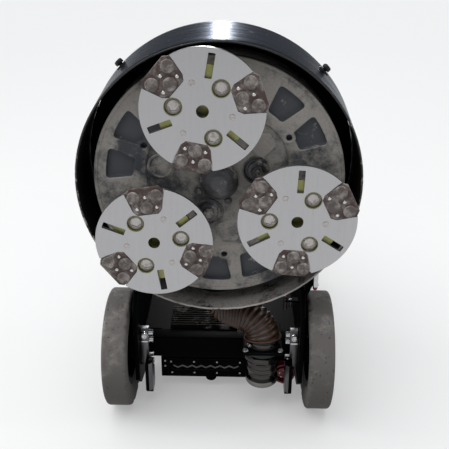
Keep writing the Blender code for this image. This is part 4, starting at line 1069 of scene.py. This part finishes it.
def bend_path(corners, radius, spacing):
    """Evenly spaced points along straight runs joined by arcs of one radius."""
    rough = [Vector(corners[0])]
    for before, corner, after in zip(corners, corners[1:], corners[2:]):
        before, corner, after = Vector(before), Vector(corner), Vector(after)
        inward, outward = (before - corner).normalized(), (after - corner).normalized()
        half = inward.angle(outward) / 2
        middle = corner + (inward + outward).normalized() * radius / math.sin(half)
        first = (corner + inward * radius / math.tan(half) - middle).normalized()
        last = (corner + outward * radius / math.tan(half) - middle).normalized()
        rough += [middle + first.slerp(last, i / 24) * radius for i in range(25)]
    rough.append(Vector(corners[-1]))
    lengths = [(b - a).length for a, b in zip(rough, rough[1:])]
    count = max(2, round(sum(lengths) / spacing))
    points, run, i = [], 0.0, 0
    for step in range(count + 1):
        target = sum(lengths) * step / count
        while i < len(lengths) - 1 and run + lengths[i] < target:
            run += lengths[i]
            i += 1
        points.append(rough[i].lerp(rough[i + 1], min(1.0, (target - run) / max(lengths[i], 1e-9))))
    return points


def sweep(points, radius, sides=32, swell=None, caps=True):
    """A round tube along points; swell(distance, angle) adds to its radius and is kept as a value."""
    shape = bmesh.new()
    swelling = shape.verts.layers.float.new("swelling")
    tangents = [(points[min(i + 1, len(points) - 1)] - points[max(i - 1, 0)]).normalized()
                for i in range(len(points))]
    across = tangents[0].orthogonal().normalized()
    ring = bmesh.ops.create_circle(shape, segments=sides, radius=radius)["verts"]
    edges = list(shape.edges)
    travelled = 0.0
    for i, (point, tangent) in enumerate(zip(points, tangents)):
        if i:
            travelled += (point - points[i - 1]).length
            pushed = bmesh.ops.extrude_edge_only(shape, edges=edges)["geom"]
            ring = [item for item in pushed if isinstance(item, bmesh.types.BMVert)]
            edges = [item for item in pushed if isinstance(item, bmesh.types.BMEdge)
                     and all(vert in ring for vert in item.verts)]
        across = (across - across.dot(tangent) * tangent).normalized()
        along = tangent.cross(across)
        for vert in ring:
            flat = vert.co if i == 0 else vert.co - points[i - 1]
            if i == 0:
                angle = math.atan2(flat.y, flat.x)
            else:
                angle = math.atan2(flat.dot(last_along), flat.dot(last_across))
            amount = swell(travelled, angle) if swell else 0.0
            vert[swelling] = amount
            vert.co = point + (across * math.cos(angle) + along * math.sin(angle)) * (radius + amount)
        last_across, last_along = across, along
    if caps:
        bmesh.ops.holes_fill(shape, edges=[edge for edge in shape.edges if len(edge.link_faces) == 1])
    bmesh.ops.recalc_face_normals(shape, faces=shape.faces)
    return shape


coupling_x, coupling_y = 0.097, rim + 0.045
hose_level, hose_radius, helix_pitch, rib_height = 0.2280, 0.0335, 0.0078, 0.0034
hose_route = bend_path([(port_x, port_y, 0.2740), (port_x, port_y, hose_level),
                        (coupling_x, coupling_y, hose_level), (coupling_x, coupling_y, 0.1820)],
                       0.040, 0.0011)


def helix_rib(distance, angle):
    wave = 0.5 + 0.5 * math.cos(2 * math.pi * distance / helix_pitch - angle)
    return rib_height * wave ** 1.7


hose_plastic = new_finish("brown_hose_film", (0.2, 0.1, 0.05), 0.34, gloss=0.45)
tree = hose_plastic.node_tree
rib = add_node(tree, "ShaderNodeAttribute", attribute_name="swelling")
rib_level = add_node(tree, "ShaderNodeMapRange", {
    "Value": rib.outputs["Fac"], "From Min": 0.0, "From Max": rib_height})
clouding = add_node(tree, "ShaderNodeTexNoise", {
    "Vector": add_node(tree, "ShaderNodeTexCoord").outputs["Object"], "Scale": 34.0, "Detail": 6.0})
# The film between the ribs is clear and darker than the rust-brown ribs. Both tones are darkened further as
# painted shade under the shroud.
film_tone_and_shade = add_node(tree, "ShaderNodeMix", {
    0: clouding.outputs["Fac"], 6: (0.016, 0.009, 0.006, 1), 7: (0.030, 0.020, 0.014, 1)},
    data_type="RGBA")
hose_tone = add_node(tree, "ShaderNodeMix", {
    0: rib_level.outputs[0], 6: film_tone_and_shade.outputs[2], 7: (0.085, 0.036, 0.019, 1)}, data_type="RGBA")
hose_dust = use_group(tree, dust_group, {
    "Colour": hose_tone.outputs[2], "Roughness": 0.34, "Dust Colour": (0.075, 0.058, 0.045, 1),
    "Amount": 0.22, "Patch Scale": 45.0})
connect(hose_plastic, hose_dust["Colour"], hose_dust["Roughness"], hose_dust["Height"], 0.3, 0.0004)
rust_wire = coated_finish("rust_brown_wire", (0.120, 0.048, 0.026), 0.45, 0.4, (0.25, 0.14, 0.09), 0.3,
                          (0.12, 0.08, 0.06), 0.2)
add_piece("spiral_hose", sweep(hose_route, hose_radius, 56, helix_rib), [hose_plastic], "chassis",
          ["dust_hose"], crease=70)

# The port is a moulded collar welded under the band.
port_low = hose_port[0]
collar = lathe([(0.0375, 0), (0.0445, 0), (0.0465, 0.004), (0.0465, 0.034), (0.0375, 0.034)], 72,
               Matrix.Translation((port_x, port_y, port_low.z)), 0.0012)
add_piece("port_collar", collar, [black_moulding], "chassis", ["dust_port"])

# ---- hose coupling -------------------------------------------------------------------------------
# A rubber cuff with a worm-drive clamp, a black flange plate screwed to the beam, a
# eight-sided body, and the turned end of a cam-and-groove adapter that a vacuum hose snaps on.
coupling_at = Matrix.Translation((coupling_x, coupling_y, 0))
cuff = lathe([(0.0300, 0.1736), (0.0372, 0.1736), (0.0376, 0.1780), (0.0368, 0.1800), (0.0368, 0.1885),
              (0.0376, 0.1900), (0.0372, 0.1935), (0.0362, 0.1940), (0.0362, 0.1800), (0.0300, 0.1780)], 96,
             coupling_at, 0.0006)
add_piece("hose_cuff", cuff, [black_moulding], "chassis")
brushed_adapter = metal_finish("brushed_adapter_metal", (0.056, 0.052, 0.049), 0.22, (30.0, 30.0, 500.0),
                               0.25, (0.06, 0.055, 0.05), 0.20)
clamp_band = lathe([(0.0370, 0.1805), (0.0379, 0.1805), (0.0379, 0.1885), (0.0370, 0.1885)], 96, coupling_at,
                   0.0003)
add_piece("clamp_band", clamp_band, [brushed_adapter], "chassis")
clamp = []
screw_side = Vector((-0.85, -0.53, 0)).normalized()
housing_place = facing(screw_side, Vector((coupling_x, coupling_y, 0.1845)) + screw_side * 0.0440)
clamp.append(cut_plate(round_corners([(-0.008, -0.0046), (0.008, -0.0046), (0.008, 0.0046),
                                      (-0.008, 0.0046)], 0.0018), 0.0064, bevel=0.0008, place=housing_place))
clamp.append(cap_screw(0.0042, 0.006, 0.003, 0.003,
                       housing_place @ Matrix.Translation((0.0075, 0, -0.003))
                       @ Matrix.Rotation(right_angle, 4, "Y")))
add_piece("hose_clamp", joined(clamp), [chrome], "chassis")

# A turn of the hose's own helix has come loose and hangs round the cuff.
loose = []
for step in range(73):
    turn = 2 * math.pi * step / 72
    drop = 0.5 - 0.5 * math.cos(turn - 0.9)
    reach = 0.0392 + 0.0030 * drop
    loose.append(Vector((coupling_x + reach * math.cos(turn - 2.2), coupling_y + reach * math.sin(turn - 2.2),
                         0.1980 - 0.0190 * drop)))
add_piece("loose_helix", sweep(loose, 0.0011, 10), [rust_wire], "chassis")

flange_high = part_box("hose_flange")[1]
flange = eased_copy("hose_flange", 0.0012)
add_piece("flange_plate", flange, [black_enamel], "chassis", ["hose_flange"])
slotted = []
for x in (-0.0375, 0.0375):
    at = Matrix.Translation((coupling_x + x, coupling_y - 0.033, flange_high.z))
    slotted.append(lathe([(0.0052, 0), (0.0072, 0), (0.0072, 0.0012), (0.0052, 0.0012)], 32, at, 0.0003))
    groove = [(-0.0045, -0.0007), (0.0045, -0.0007), (0.0045, 0.0007), (-0.0045, 0.0007)]
    slotted.append(cut_plate(ring_of(0.0052, 36), 0.0034, (), [(groove, 0.0014, 1.0)],
                             at @ Matrix.Translation((0, 0, 0.0034)) @ Matrix.Rotation(0.8 + x * 20, 4, "Z"),
                             0.0005))
add_piece("flange_screws", joined(slotted), [polished_steel], "chassis")

octagon_half, octagon_depth = 0.0375, 0.0190
octagon_body = cut_plate(ring_of(octagon_half / math.cos(math.pi / 8), 8), octagon_depth,
                         [ring_of(0.0265, 64)], bevel=0.0010)
for point in octagon_body.verts:
    beyond = point.co.xy.length - octagon_half
    if beyond > 0:
        point.co.z += beyond * (-1.2 if point.co.z > -octagon_depth / 2 else 1.2)
bmesh.ops.transform(octagon_body, verts=octagon_body.verts,
                    matrix=coupling_at @ Matrix.Translation((0, 0, 0.1530)) @ Matrix.Rotation(0.30, 4, "Z"))
neck = lathe([(0.0300, 0.1530), (0.0365, 0.1530), (0.0385, 0.1560), (0.0400, 0.1655), (0.0300, 0.1655)], 96,
             coupling_at, 0.0006)
add_piece("coupling_neck", neck, [black_moulding], "chassis")
adapter = lathe([(0.0265, 0.0735), (0.0300, 0.0722), (0.0340, 0.0726), (0.0364, 0.0760), (0.0370, 0.0815),
                 (0.0364, 0.0870), (0.0345, 0.0905), (0.0322, 0.0945), (0.0314, 0.1000), (0.0322, 0.1055),
                 (0.0345, 0.1090), (0.0358, 0.1120), (0.0360, 0.1200), (0.0350, 0.1212), (0.0352, 0.1290),
                 (0.0364, 0.1310), (0.0370, 0.1345), (0.0265, 0.1345)], 128, coupling_at, 0.0008, 2)
# Painted highlight: the rounded ring at the foot of the adapter gets a lighter metal than the body, standing
# in for the bright highlight along it.
for face in adapter.faces:
    face.material_index = int(face.calc_center_median().z < 0.0885)
rim_painted_highlight = metal_finish("adapter_rim_painted_highlight", (0.165, 0.158, 0.15), 0.20, (30.0, 30.0, 500.0), 0.20,
                          (0.08, 0.075, 0.07), 0.20)
add_piece("cam_adapter", joined([octagon_body, adapter]), [brushed_adapter, rim_painted_highlight], "chassis",
          ["hose_adapter"])

# ---- electrical cabinet --------------------------------------------------------------------------
# A folded sheet box under the motor for the drive's electronics. Its front has a long vent
# closed by a crimped strip, and a brown dusty heat sink lies along its top, coloured near black as painted
# shadow from the shroud.
cabinet_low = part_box("cabinet_body")[0]
add_piece("cabinet_shell", eased_copy("cabinet_body", 0.0010), [black_enamel], "chassis",
          ["cabinet_body"])
front_at = at_front(0, cabinet_low.y - 0.0004, 0)
vent_low, vent_high = (-0.111, 0.0560), (0.047, 0.0715)
vent = [(vent_low[0], vent_low[1]), (vent_high[0], vent_low[1]), (vent_high[0], vent_high[1]),
        (vent_low[0], vent_high[1])]
frame_outline = [(-0.122, 0.0405), (0.056, 0.0405), (0.056, 0.0860), (-0.122, 0.0860)]
panel = cut_plate(round_corners(frame_outline, 0.002, 3), 0.0018, [round_corners(vent, 0.003, 3)],
                  place=front_at @ Matrix.Translation((0, 0, 0.0020)), bevel=0.0004)
lug = [(-0.033 + 0.013 * (1 - math.cos(math.pi * i / 12)), 0.0338 - 0.0122 * math.sin(math.pi * i / 12))
       for i in range(13)]
foot = cut_plate(lug, 0.012, place=front_at @ Matrix.Translation((0, 0, -0.002)), bevel=0.0012)
add_piece("vent_panel", joined([panel, foot]), [black_enamel], "chassis")
crimps = 14
pitch = (vent_high[0] - vent_low[0] - 0.004) / crimps
strip_line = [(vent_low[0] + 0.002 + pitch * i, 0.0612 if i % 2 else 0.0668) for i in range(crimps + 1)]
strip_outline = [(x, z + 0.0021) for x, z in strip_line] + [(x, z - 0.0021) for x, z in reversed(strip_line)]
strip = cut_plate(round_corners(strip_outline, 0.0015, 2), 0.001, bevel=0.0002,
                  place=front_at @ Matrix.Translation((0, 0, 0.0010)))
crimped_metal = metal_finish("crimped_grey_metal", (0.10, 0.10, 0.102), 0.35, (90.0, 90.0, 90.0), 0.3,
                             (0.16, 0.15, 0.14), 0.3)
add_piece("vent_strip", strip, [crimped_metal], "chassis")
pins = []
for x, z in ((-0.114, 0.0785), (-0.060, 0.0785), (-0.006, 0.0785), (0.048, 0.0785), (-0.112, 0.0480),
             (-0.059, 0.0480), (-0.006, 0.0480), (0.048, 0.0480), (-0.128, 0.0660), (-0.128, 0.0800)):
    at = front_at @ Matrix.Translation((x, z, 0.0014))
    pins.append(cap_screw(0.0021, 0.0020, 0.0017, 0.0012, at @ Matrix.Rotation(x * 99, 4, "Z")))
add_piece("cabinet_screws", joined(pins), [screw_steel], "chassis")
# Painted shadow: the fins' colour is kept near black for the shroud's shadow over them. The dust is real.
fins_with_painted_shadow = coated_finish("dusty_fin_metal_painted_shadow", (0.010, 0.0075, 0.0055), 0.7, 0.08, (0.024, 0.020, 0.015), 0.5,
                           (0.030, 0.024, 0.018), 0.4, 30.0)
add_piece("finned_sink", eased_copy("heat_sink", 0.0006), [fins_with_painted_shadow], "chassis",
          ["heat_sink"])

# The power inlet: a red industrial socket with five pins in a round shroud.
red_moulding = coated_finish("red_moulding", (0.20, 0.012, 0.028), 0.36, 0.5, (0.25, 0.05, 0.06), 0.2,
                             (0.25, 0.16, 0.15), 0.20)
inlet_low, inlet_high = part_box("power_inlet")
inlet_centre = (inlet_low + inlet_high) / 2
inlet_length = inlet_high.y - inlet_low.y
inlet_at = at_front(inlet_centre.x, inlet_low.y, inlet_centre.z)
socket_body = lathe([(0, -inlet_length), (0.0262, -inlet_length), (0.0262, -inlet_length + 0.005),
                     (0.0245, -inlet_length + 0.007), (0.0245, -0.0065), (0.0263, -0.0055), (0.0263, 0),
                     (0.0222, 0), (0.0215, -0.016), (0.0150, -0.016), (0.0145, -0.004), (0, -0.004)], 96,
                    inlet_at, 0.0008)
key = cut_plate(round_corners([(-0.004, 0.0240), (0.004, 0.0240), (0.004, 0.0275), (-0.004, 0.0275)], 0.001),
                0.018, place=inlet_at, bevel=0.0006)
bmesh.ops.rotate(key, cent=inlet_at.translation, matrix=Matrix.Rotation(math.pi, 3, "Y"), verts=key.verts)
add_piece("inlet_socket", joined([socket_body, key]), [red_moulding], "chassis",
          ["power_inlet"])
contacts = []
for fifth in range(5):
    x, y = ring_of(0.0098, 5)[fifth]
    contacts.append(lathe([(0, -0.006), (0.0021, -0.006), (0.0021, -0.0008), (0.0014, 0.0004), (0, 0.0006)],
                          20, inlet_at @ Matrix.Translation((x, y, -0.0006))))
add_piece("inlet_contacts", joined(contacts), [polished_steel], "chassis")

# ---- small fittings under the head ---------------------------------------------------------------
# A short gas strut outside the right plate, and two stop pins hanging from a tab inside it.
strut = [lathe([(0, 0), (0.0056, 0), (0.0058, 0.004), (0.0058, 0.052), (0, 0.052)], 40,
               Matrix.Translation((0.2085, rim + 0.070, 0.3020)), 0.0010),
         lathe([(0, 0), (0.0034, 0), (0.0034, 0.012), (0, 0.012)], 32,
               Matrix.Translation((0.2085, rim + 0.070, 0.3520)))]
add_piece("strut_tube", joined(strut), [chrome], "chassis")
tips = [lathe([(0, 0), (0.0040, 0), (0.0052, 0.003), (0.0052, 0.0062), (0, 0.0062)], 32,
              Matrix.Translation((0.2085, rim + 0.070, 0.2955)), 0.0005),
        lathe([(0, 0), (0.0034, 0), (0.0034, 0.004), (0.0026, 0.005), (0, 0.005)], 24,
              Matrix.Translation((0.1490, rim + 0.1185, 0.2440)), 0.0004)]
add_piece("red_tips", joined(tips), [red_moulding], "chassis")
tabs = [cut_plate(round_corners([(-0.0085, -0.0148), (0.0085, -0.0148), (0.0085, 0.018), (-0.0085, 0.018)],
                                0.003), 0.0040, bevel=0.0006,
                  place=facing((0, 0, 1), (0.1630, rim + 0.1200, 0.2400))
                  @ Matrix.Rotation(right_angle, 4, "Z")),
        cut_plate(round_corners([(0.1884, 0.252), (0.1932, 0.252), (0.1932, 0.272), (0.2060, 0.302),
                                 (0.2150, 0.322), (0.2150, 0.342), (0.2010, 0.342), (0.1884, 0.290)], 0.0015),
                  0.0040, bevel=0.0006, place=at_front(0, rim + 0.0800, 0))]
add_piece("fitting_tabs", joined(tabs), [black_enamel], "chassis")
hanging = [lathe([(0, 0), (0.0030, 0), (0.0040, 0.0015), (0.0040, 0.0280), (0.0040, 0.0300), (0, 0.0300)], 32,
                 Matrix.Translation((0.1490, rim + 0.1185, 0.2135)), 0.0006),
           lathe([(0, 0), (0.0026, 0), (0.0032, 0.0015), (0.0032, 0.0200), (0, 0.0200)], 32,
                 Matrix.Translation((0.1610, rim + 0.1185, 0.2210)), 0.0006)]
add_piece("stop_pins", joined(hanging), [ground_bar], "chassis")

# ---- back of the head: deck, drive and motor -----------------------------------------------------
# A steel deck closes the shroud. Bolted to it are a cast gear housing and a finned
# electric motor with a slotted fan cover and a terminal box.
head_place = facing((0, 1, 0), head)
deck_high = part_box("head_deck")[1]
add_piece("deck_plate", eased_copy("head_deck", 0.0008, 2), [black_enamel], "chassis",
          ["head_deck"], crease=30)
cast_grey = coated_finish("cast_housing_grey", (0.085, 0.086, 0.090), 0.55, 0.4, (0.16, 0.16, 0.16), 0.4,
                          (0.19, 0.18, 0.165), 0.32, 12.0)
motor_grey = coated_finish("motor_enamel", (0.060, 0.063, 0.068), 0.42, 0.5, (0.13, 0.13, 0.13), 0.4,
                           (0.19, 0.18, 0.165), 0.25, 12.0)
housing_low, housing_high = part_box("drive_housing")
start, end = housing_low.y - rim, housing_high.y - rim
bore = 0.018
housing = lathe([(bore, start), (0.145, start), (0.145, start + 0.0135), (0.112, start + 0.0160),
                 (0.105, start + 0.0240), (0.105, end - 0.0200), (0.111, end - 0.0130), (0.135, end - 0.0115),
                 (0.135, end), (bore, end)], 160, head_place, 0.0018)
add_piece("gear_housing", housing, [cast_grey], "chassis", ["drive_housing"])
ribs = []
for turn in range(0, 360, 30):
    place = head_place @ Matrix.Rotation(math.radians(turn), 4, "Z")
    upright = place @ Matrix.Rotation(right_angle, 4, "X") @ Matrix.Translation((0, 0, 0.0025))
    ribs.append(cut_plate([(0.102, start + 0.014), (0.138, start + 0.0138), (0.107, start + 0.040),
                           (0.107, end - 0.030), (0.131, end - 0.0118), (0.102, end - 0.012)], 0.005,
                          place=upright, bevel=0.0012))
add_piece("housing_ribs", joined(ribs), [cast_grey], "chassis")
bolts = []
for turn in range(15, 375, 30):
    for radius, height in ((0.1385, start + 0.0135), (0.1255, end - 0.0115)):
        face_turn = math.radians(turn)
        at = head_place @ Matrix.Translation((radius * math.cos(face_turn), radius * math.sin(face_turn),
                                              height))
        if height > start + 0.02:
            at = at @ Matrix.Rotation(math.pi, 4, "X")
        bolts.append(cap_screw(0.0048, 0.0052, 0.004, 0.0028, at))
for turn in range(20, 380, 40):
    face_turn = math.radians(turn)
    at = head_place @ Matrix.Translation((0.225 * math.cos(face_turn), 0.225 * math.sin(face_turn),
                                          deck_high.y - rim))
    bolts.append(lathe([(0, 0), (0.011, 0), (0.011, 0.0016), (0, 0.0016)], 32, at, 0.0004))
    bolts.append(hex_nut(0.013, 0.0070, 0.0030, at @ Matrix.Translation((0, 0, 0.0016))))
    bolts.append(lathe([(0, 0.002), (0.0040, 0.002), (0.0036, 0.0105), (0, 0.0105)], 24, at))
add_piece("deck_bolts", joined(bolts), [screw_steel], "chassis")

add_piece("motor_frame", eased_copy("motor_body", 0.0009, 2, 0.8), [motor_grey], "chassis",
          ["motor_body"])
cover_low, cover_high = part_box("motor_fan_cover")
start, end = cover_low.y - rim, cover_high.y - rim
cover = lathe([(0.1278, start), (0.1310, start), (0.1310, end - 0.0130), (0.1280, end - 0.0050),
               (0.1210, end - 0.0010), (0.1120, end), (0.1120, end - 0.0026), (0.1200, end - 0.0036),
               (0.1258, end - 0.0070), (0.1278, end - 0.0140)], 160, head_place, 0.0006)
add_piece("fan_cowl", cover, [motor_grey], "chassis", ["motor_fan_cover"])
slits = []
for row, (radius, count) in enumerate(((0.044, 10), (0.066, 16), (0.088, 22))):
    half_turn = math.pi / count * 0.62
    for number in range(count):
        middle = 2 * math.pi * (number + 0.5 * (row % 2)) / count
        turns = [middle - half_turn + 2 * half_turn * step / 5 for step in range(6)]
        arc = [((radius + 0.0048) * math.cos(turn), (radius + 0.0048) * math.sin(turn)) for turn in turns]
        arc += [((radius - 0.0048) * math.cos(turn), (radius - 0.0048) * math.sin(turn))
                for turn in reversed(turns)]
        slits.append(round_corners(arc, 0.0012, 2))
grille = cut_plate(ring_of(0.1125, 128), 0.0024, [ring_of(0.0155, 40), *slits],
                   place=head_place @ Matrix.Translation((0, 0, end - 0.0001)), bevel=0.0003, segments=1)
add_piece("cowl_grille", grille, [motor_grey], "chassis")
add_piece("junction_box", eased_copy("terminal_box", 0.0010, 2, 0.5), [motor_grey], "chassis",
          ["terminal_box"])
box_low, box_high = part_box("terminal_box")
box_screws = []
for x in (box_low.x + 0.011, box_high.x - 0.011):
    for y in (box_low.y + 0.011, box_high.y - 0.011):
        box_screws.append(cap_screw(0.0040, 0.0032, 0.0034, 0.002,
                                    Matrix.Translation((x, y, box_high.z - 0.0002))))
add_piece("box_screws", joined(box_screws), [screw_steel], "chassis")
gland_at = facing((1, 0, 0), (box_high.x - 0.0004, (box_low.y + box_high.y) / 2, box_low.z + 0.028))
gland = [hex_nut(0.026, 0.0090, 0.0080, gland_at),
         lathe([(0.0078, 0.009), (0.0118, 0.009), (0.0118, 0.0150), (0.0095, 0.0205), (0.0078, 0.0215)], 48,
               gland_at, 0.0008)]
gland.append(lathe([(0, 0.004), (0.0079, 0.004), (0.0079, 0.0180), (0, 0.0180)], 32, gland_at))
add_piece("cable_gland", joined(gland), [black_moulding], "chassis")

# Gears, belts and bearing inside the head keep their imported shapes.
belt_rubber = coated_finish("black_belt_rubber", (0.014, 0.014, 0.014), 0.7, 0.3, (0.03, 0.03, 0.03), 0.2,
                            (0.16, 0.15, 0.14), 0.25)
for name, finish in (("ring_gear", worn_dark_steel), ("carrier_bearing", screw_steel),
                     ("motor_rotor", screw_steel), ("drive_belt_1", belt_rubber),
                     ("drive_belt_2", belt_rubber), ("drive_belt_3", belt_rubber)):
    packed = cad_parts[name]
    packed.data.materials.clear()
    packed.data.materials.append(finish)

# ---- cabinet lid ---------------------------------------------------------------------------------
# The cabinet's back opens on hinges along its foot and is held by two quarter-turn latches.
lid_low, lid_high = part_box("cabinet_lid")
add_piece("lid_panel", eased_copy("cabinet_lid", 0.0012), [black_enamel], "lid",
          ["cabinet_lid"])
latches = []
for x in (lid_low.x + 0.045, lid_high.x - 0.045):
    at = facing((0, 1, 0), (x, lid_high.y - 0.0004, lid_high.z - 0.022))
    slot_mark = [(-0.0060, -0.0010), (0.0060, -0.0010), (0.0060, 0.0010), (-0.0060, 0.0010)]
    latches.append(lathe([(0.0080, 0), (0.0110, 0), (0.0106, 0.0030), (0.0080, 0.0030)], 48, at, 0.0005))
    latches.append(cut_plate(ring_of(0.0081, 48), 0.0030, (), [(slot_mark, 0.0016, 1.0)],
                             at @ Matrix.Translation((0, 0, 0.0026)), 0.0004))
add_piece("lid_latches", joined(latches), [screw_steel], "lid")

# ---- handle --------------------------------------------------------------------------------------
# A bent tube frame on the chassis carries the folding handlebar, which is one bent tube
# with two ribbed rubber grips and the control box on its cross piece.

tube_step = 0.006
frame_x, frame_radius, bar_x, bar_radius = 0.207, 0.017, 0.2465, 0.016
hinge = Vector((0, rim + 0.500, 0.062))
bar_end = rim + 1.020
frame_route = bend_path([(-frame_x, rim + 0.225, hinge.z), (-frame_x, rim + 0.510, hinge.z),
                          (-frame_x, rim + 0.600, frame_radius), (frame_x, rim + 0.600, frame_radius),
                          (frame_x, rim + 0.510, hinge.z), (frame_x, rim + 0.225, hinge.z)], 0.040, tube_step)
add_piece("lower_frame", sweep(frame_route, frame_radius, 40), [black_enamel], "chassis",
          ["handle_frame"], crease=60)
mounting = []
for side in (-1, 1):
    for along in (0.255, 0.360):
        at = facing((side, 0, 0), (side * (frame_x + frame_radius - 0.0010), rim + along, hinge.z))
        mounting.append(cap_screw(0.0072, 0.0072, 0.0060, 0.004, at))
        spacer = facing((side, 0, 0), (side * 0.1881, rim + along, hinge.z))
        mounting.append(lathe([(0, 0), (0.0110, 0), (0.0110, 0.0060), (0, 0.0060)], 40, spacer, 0.0004))
add_piece("frame_mounting_bolts", joined(mounting), [screw_steel], "chassis")
stub = frame_x + frame_radius + 0.0006
bar_route = bend_path([(-stub, hinge.y, hinge.z), (-bar_x, hinge.y, hinge.z), (-bar_x, bar_end, hinge.z),
                        (bar_x, bar_end, hinge.z), (bar_x, hinge.y, hinge.z), (stub, hinge.y, hinge.z)],
                       0.0205, tube_step)
add_piece("push_bar", sweep(bar_route, bar_radius, 40), [black_enamel], "handle",
          ["handlebar"], crease=60)
grip_rubber = coated_finish("black_grip_rubber", (0.014, 0.014, 0.015), 0.62, 0.35, (0.03, 0.03, 0.03), 0.2,
                            (0.16, 0.15, 0.14), 0.12)
for side, name in ((-1, "left"), (1, "right")):
    grip_low, grip_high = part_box("grip_" + name)
    length = grip_high.x - grip_low.x
    ribbed = [(bar_radius + 0.0003, 0), (0.0212, 0), (0.0215, 0.0025), (0.0215, 0.0060)]
    for rib_number in range(17):
        foot = 0.0085 + rib_number * 0.0060
        ribbed += [(0.0192, foot), (0.0192, foot + 0.0018), (0.0206, foot + 0.0028), (0.0206, foot + 0.0048)]
    ribbed += [(0.0200, length), (bar_radius + 0.0003, length)]
    start_x = grip_low.x if side > 0 else grip_high.x
    grip = lathe(ribbed, 64, facing((side, 0, 0), (start_x, bar_end, hinge.z)), 0.0004, 2)
    add_piece("ribbed_grip_" + name, grip, [grip_rubber], "handle", ["grip_" + name])
pivots = []
for side in (-1, 1):
    at = facing((side, 0, 0), (side * (bar_x + bar_radius - 0.0012), hinge.y, hinge.z))
    pivots.append(lathe([(0, 0), (0.0115, 0), (0.0115, 0.0020), (0, 0.0020)], 48, at, 0.0005))
    pivots.append(hex_nut(0.0165, 0.0080, 0.0045, at @ Matrix.Translation((0, 0, 0.0020))))
    pivots.append(lathe([(0, 0), (0.0047, 0), (0.0043, 0.0115), (0, 0.0115)], 32, at))
add_piece("pivot_bolts", joined(pivots), [screw_steel], "handle")

# ---- control box ---------------------------------------------------------------------------------
# A moulded box across the handlebar with an emergency stop, a start button and a speed
# knob on its back face, each on its own moving body.
control_low, control_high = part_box("control_box")
add_piece("control_case", eased_copy("control_box", 0.0010, 2, 0.5), [black_moulding], "handle",
          ["control_box"])
face_y, middle_z = rim + 1.075, (control_low.z + control_high.z) / 2
case_screws = []
for x in (control_low.x + 0.010, control_high.x - 0.010):
    for z in (control_low.z + 0.010, control_high.z - 0.010):
        case_screws.append(cap_screw(0.0034, 0.0024, 0.0028, 0.0016,
                                     facing((0, 1, 0), (x, face_y - 0.0004, z))))
add_piece("case_screws", joined(case_screws), [screw_steel], "handle")
yellow_label = new_finish("yellow_backplate", (0.62, 0.42, 0.02), 0.45)
stop_place = facing((0, 1, 0), (0.050, face_y, middle_z))
add_piece("stop_backplate", lathe([(0.0130, 0), (0.0225, 0), (0.0225, 0.0012), (0.0130, 0.0012)], 72,
                                  stop_place, 0.0003), [yellow_label], "handle")
mushroom = lathe([(0, -0.007), (0.0078, -0.007), (0.0078, 0.008), (0.0172, 0.0082), (0.0188, 0.0110),
                  (0.0186, 0.0140), (0.0160, 0.0176), (0.0120, 0.0194), (0.0060, 0.0199), (0, 0.0200)], 96,
                 stop_place, 0.0008)
stop_red = coated_finish("stop_red", (0.46, 0.010, 0.012), 0.32, 0.5, (0.5, 0.05, 0.05), 0.2,
                         (0.35, 0.25, 0.22), 0.08)
add_piece("stop_mushroom", mushroom, [stop_red], "stop_button", ["emergency_stop"])
start_place = facing((0, 1, 0), (0.0, face_y, middle_z))
start_green = coated_finish("start_green", (0.010, 0.22, 0.045), 0.34, 0.5, (0.05, 0.3, 0.1), 0.2,
                            (0.30, 0.30, 0.25), 0.08)
push = lathe([(0, -0.008), (0.0098, -0.008), (0.0098, 0.0036), (0.0088, 0.0048), (0.0070, 0.0050),
              (0.0060, 0.0042), (0, 0.0038)], 72, start_place, 0.0004)
add_piece("start_push", push, [start_green], "start_button", ["start_button"])
bezel = lathe([(0.0104, 0), (0.0140, 0), (0.0132, 0.0030), (0.0108, 0.0032)], 72, start_place, 0.0005)
add_piece("start_bezel", bezel, [polished_steel], "handle")
knob_place = facing((0, 1, 0), (-0.050, face_y, middle_z))
flutes = [((0.0138 - 0.0009 * (i % 2)) * math.cos(math.pi * i / 24),
           (0.0138 - 0.0009 * (i % 2)) * math.sin(math.pi * i / 24)) for i in range(48)]
knob_body = cut_plate(flutes, 0.0145, place=knob_place @ Matrix.Translation((0, 0, 0.0158)), bevel=0.0004)
spindle = lathe([(0, -0.012), (0.0048, -0.012), (0.0048, 0.0020), (0, 0.0020)], 32, knob_place)
pointer = cut_plate([(-0.0009, 0.002), (0.0009, 0.002), (0.0009, 0.0122), (-0.0009, 0.0122)], 0.0006,
                    place=knob_place @ Matrix.Translation((0, 0, 0.0163)))
knob_black = new_finish("knob_black", (0.015, 0.015, 0.016), 0.4)
pointer_white = new_finish("pointer_white", (0.75, 0.75, 0.72), 0.5)
add_piece("fluted_knob", joined([knob_body, spindle]), [knob_black], "speed_knob",
          ["speed_knob"])
add_piece("knob_pointer", pointer, [pointer_white], "speed_knob")
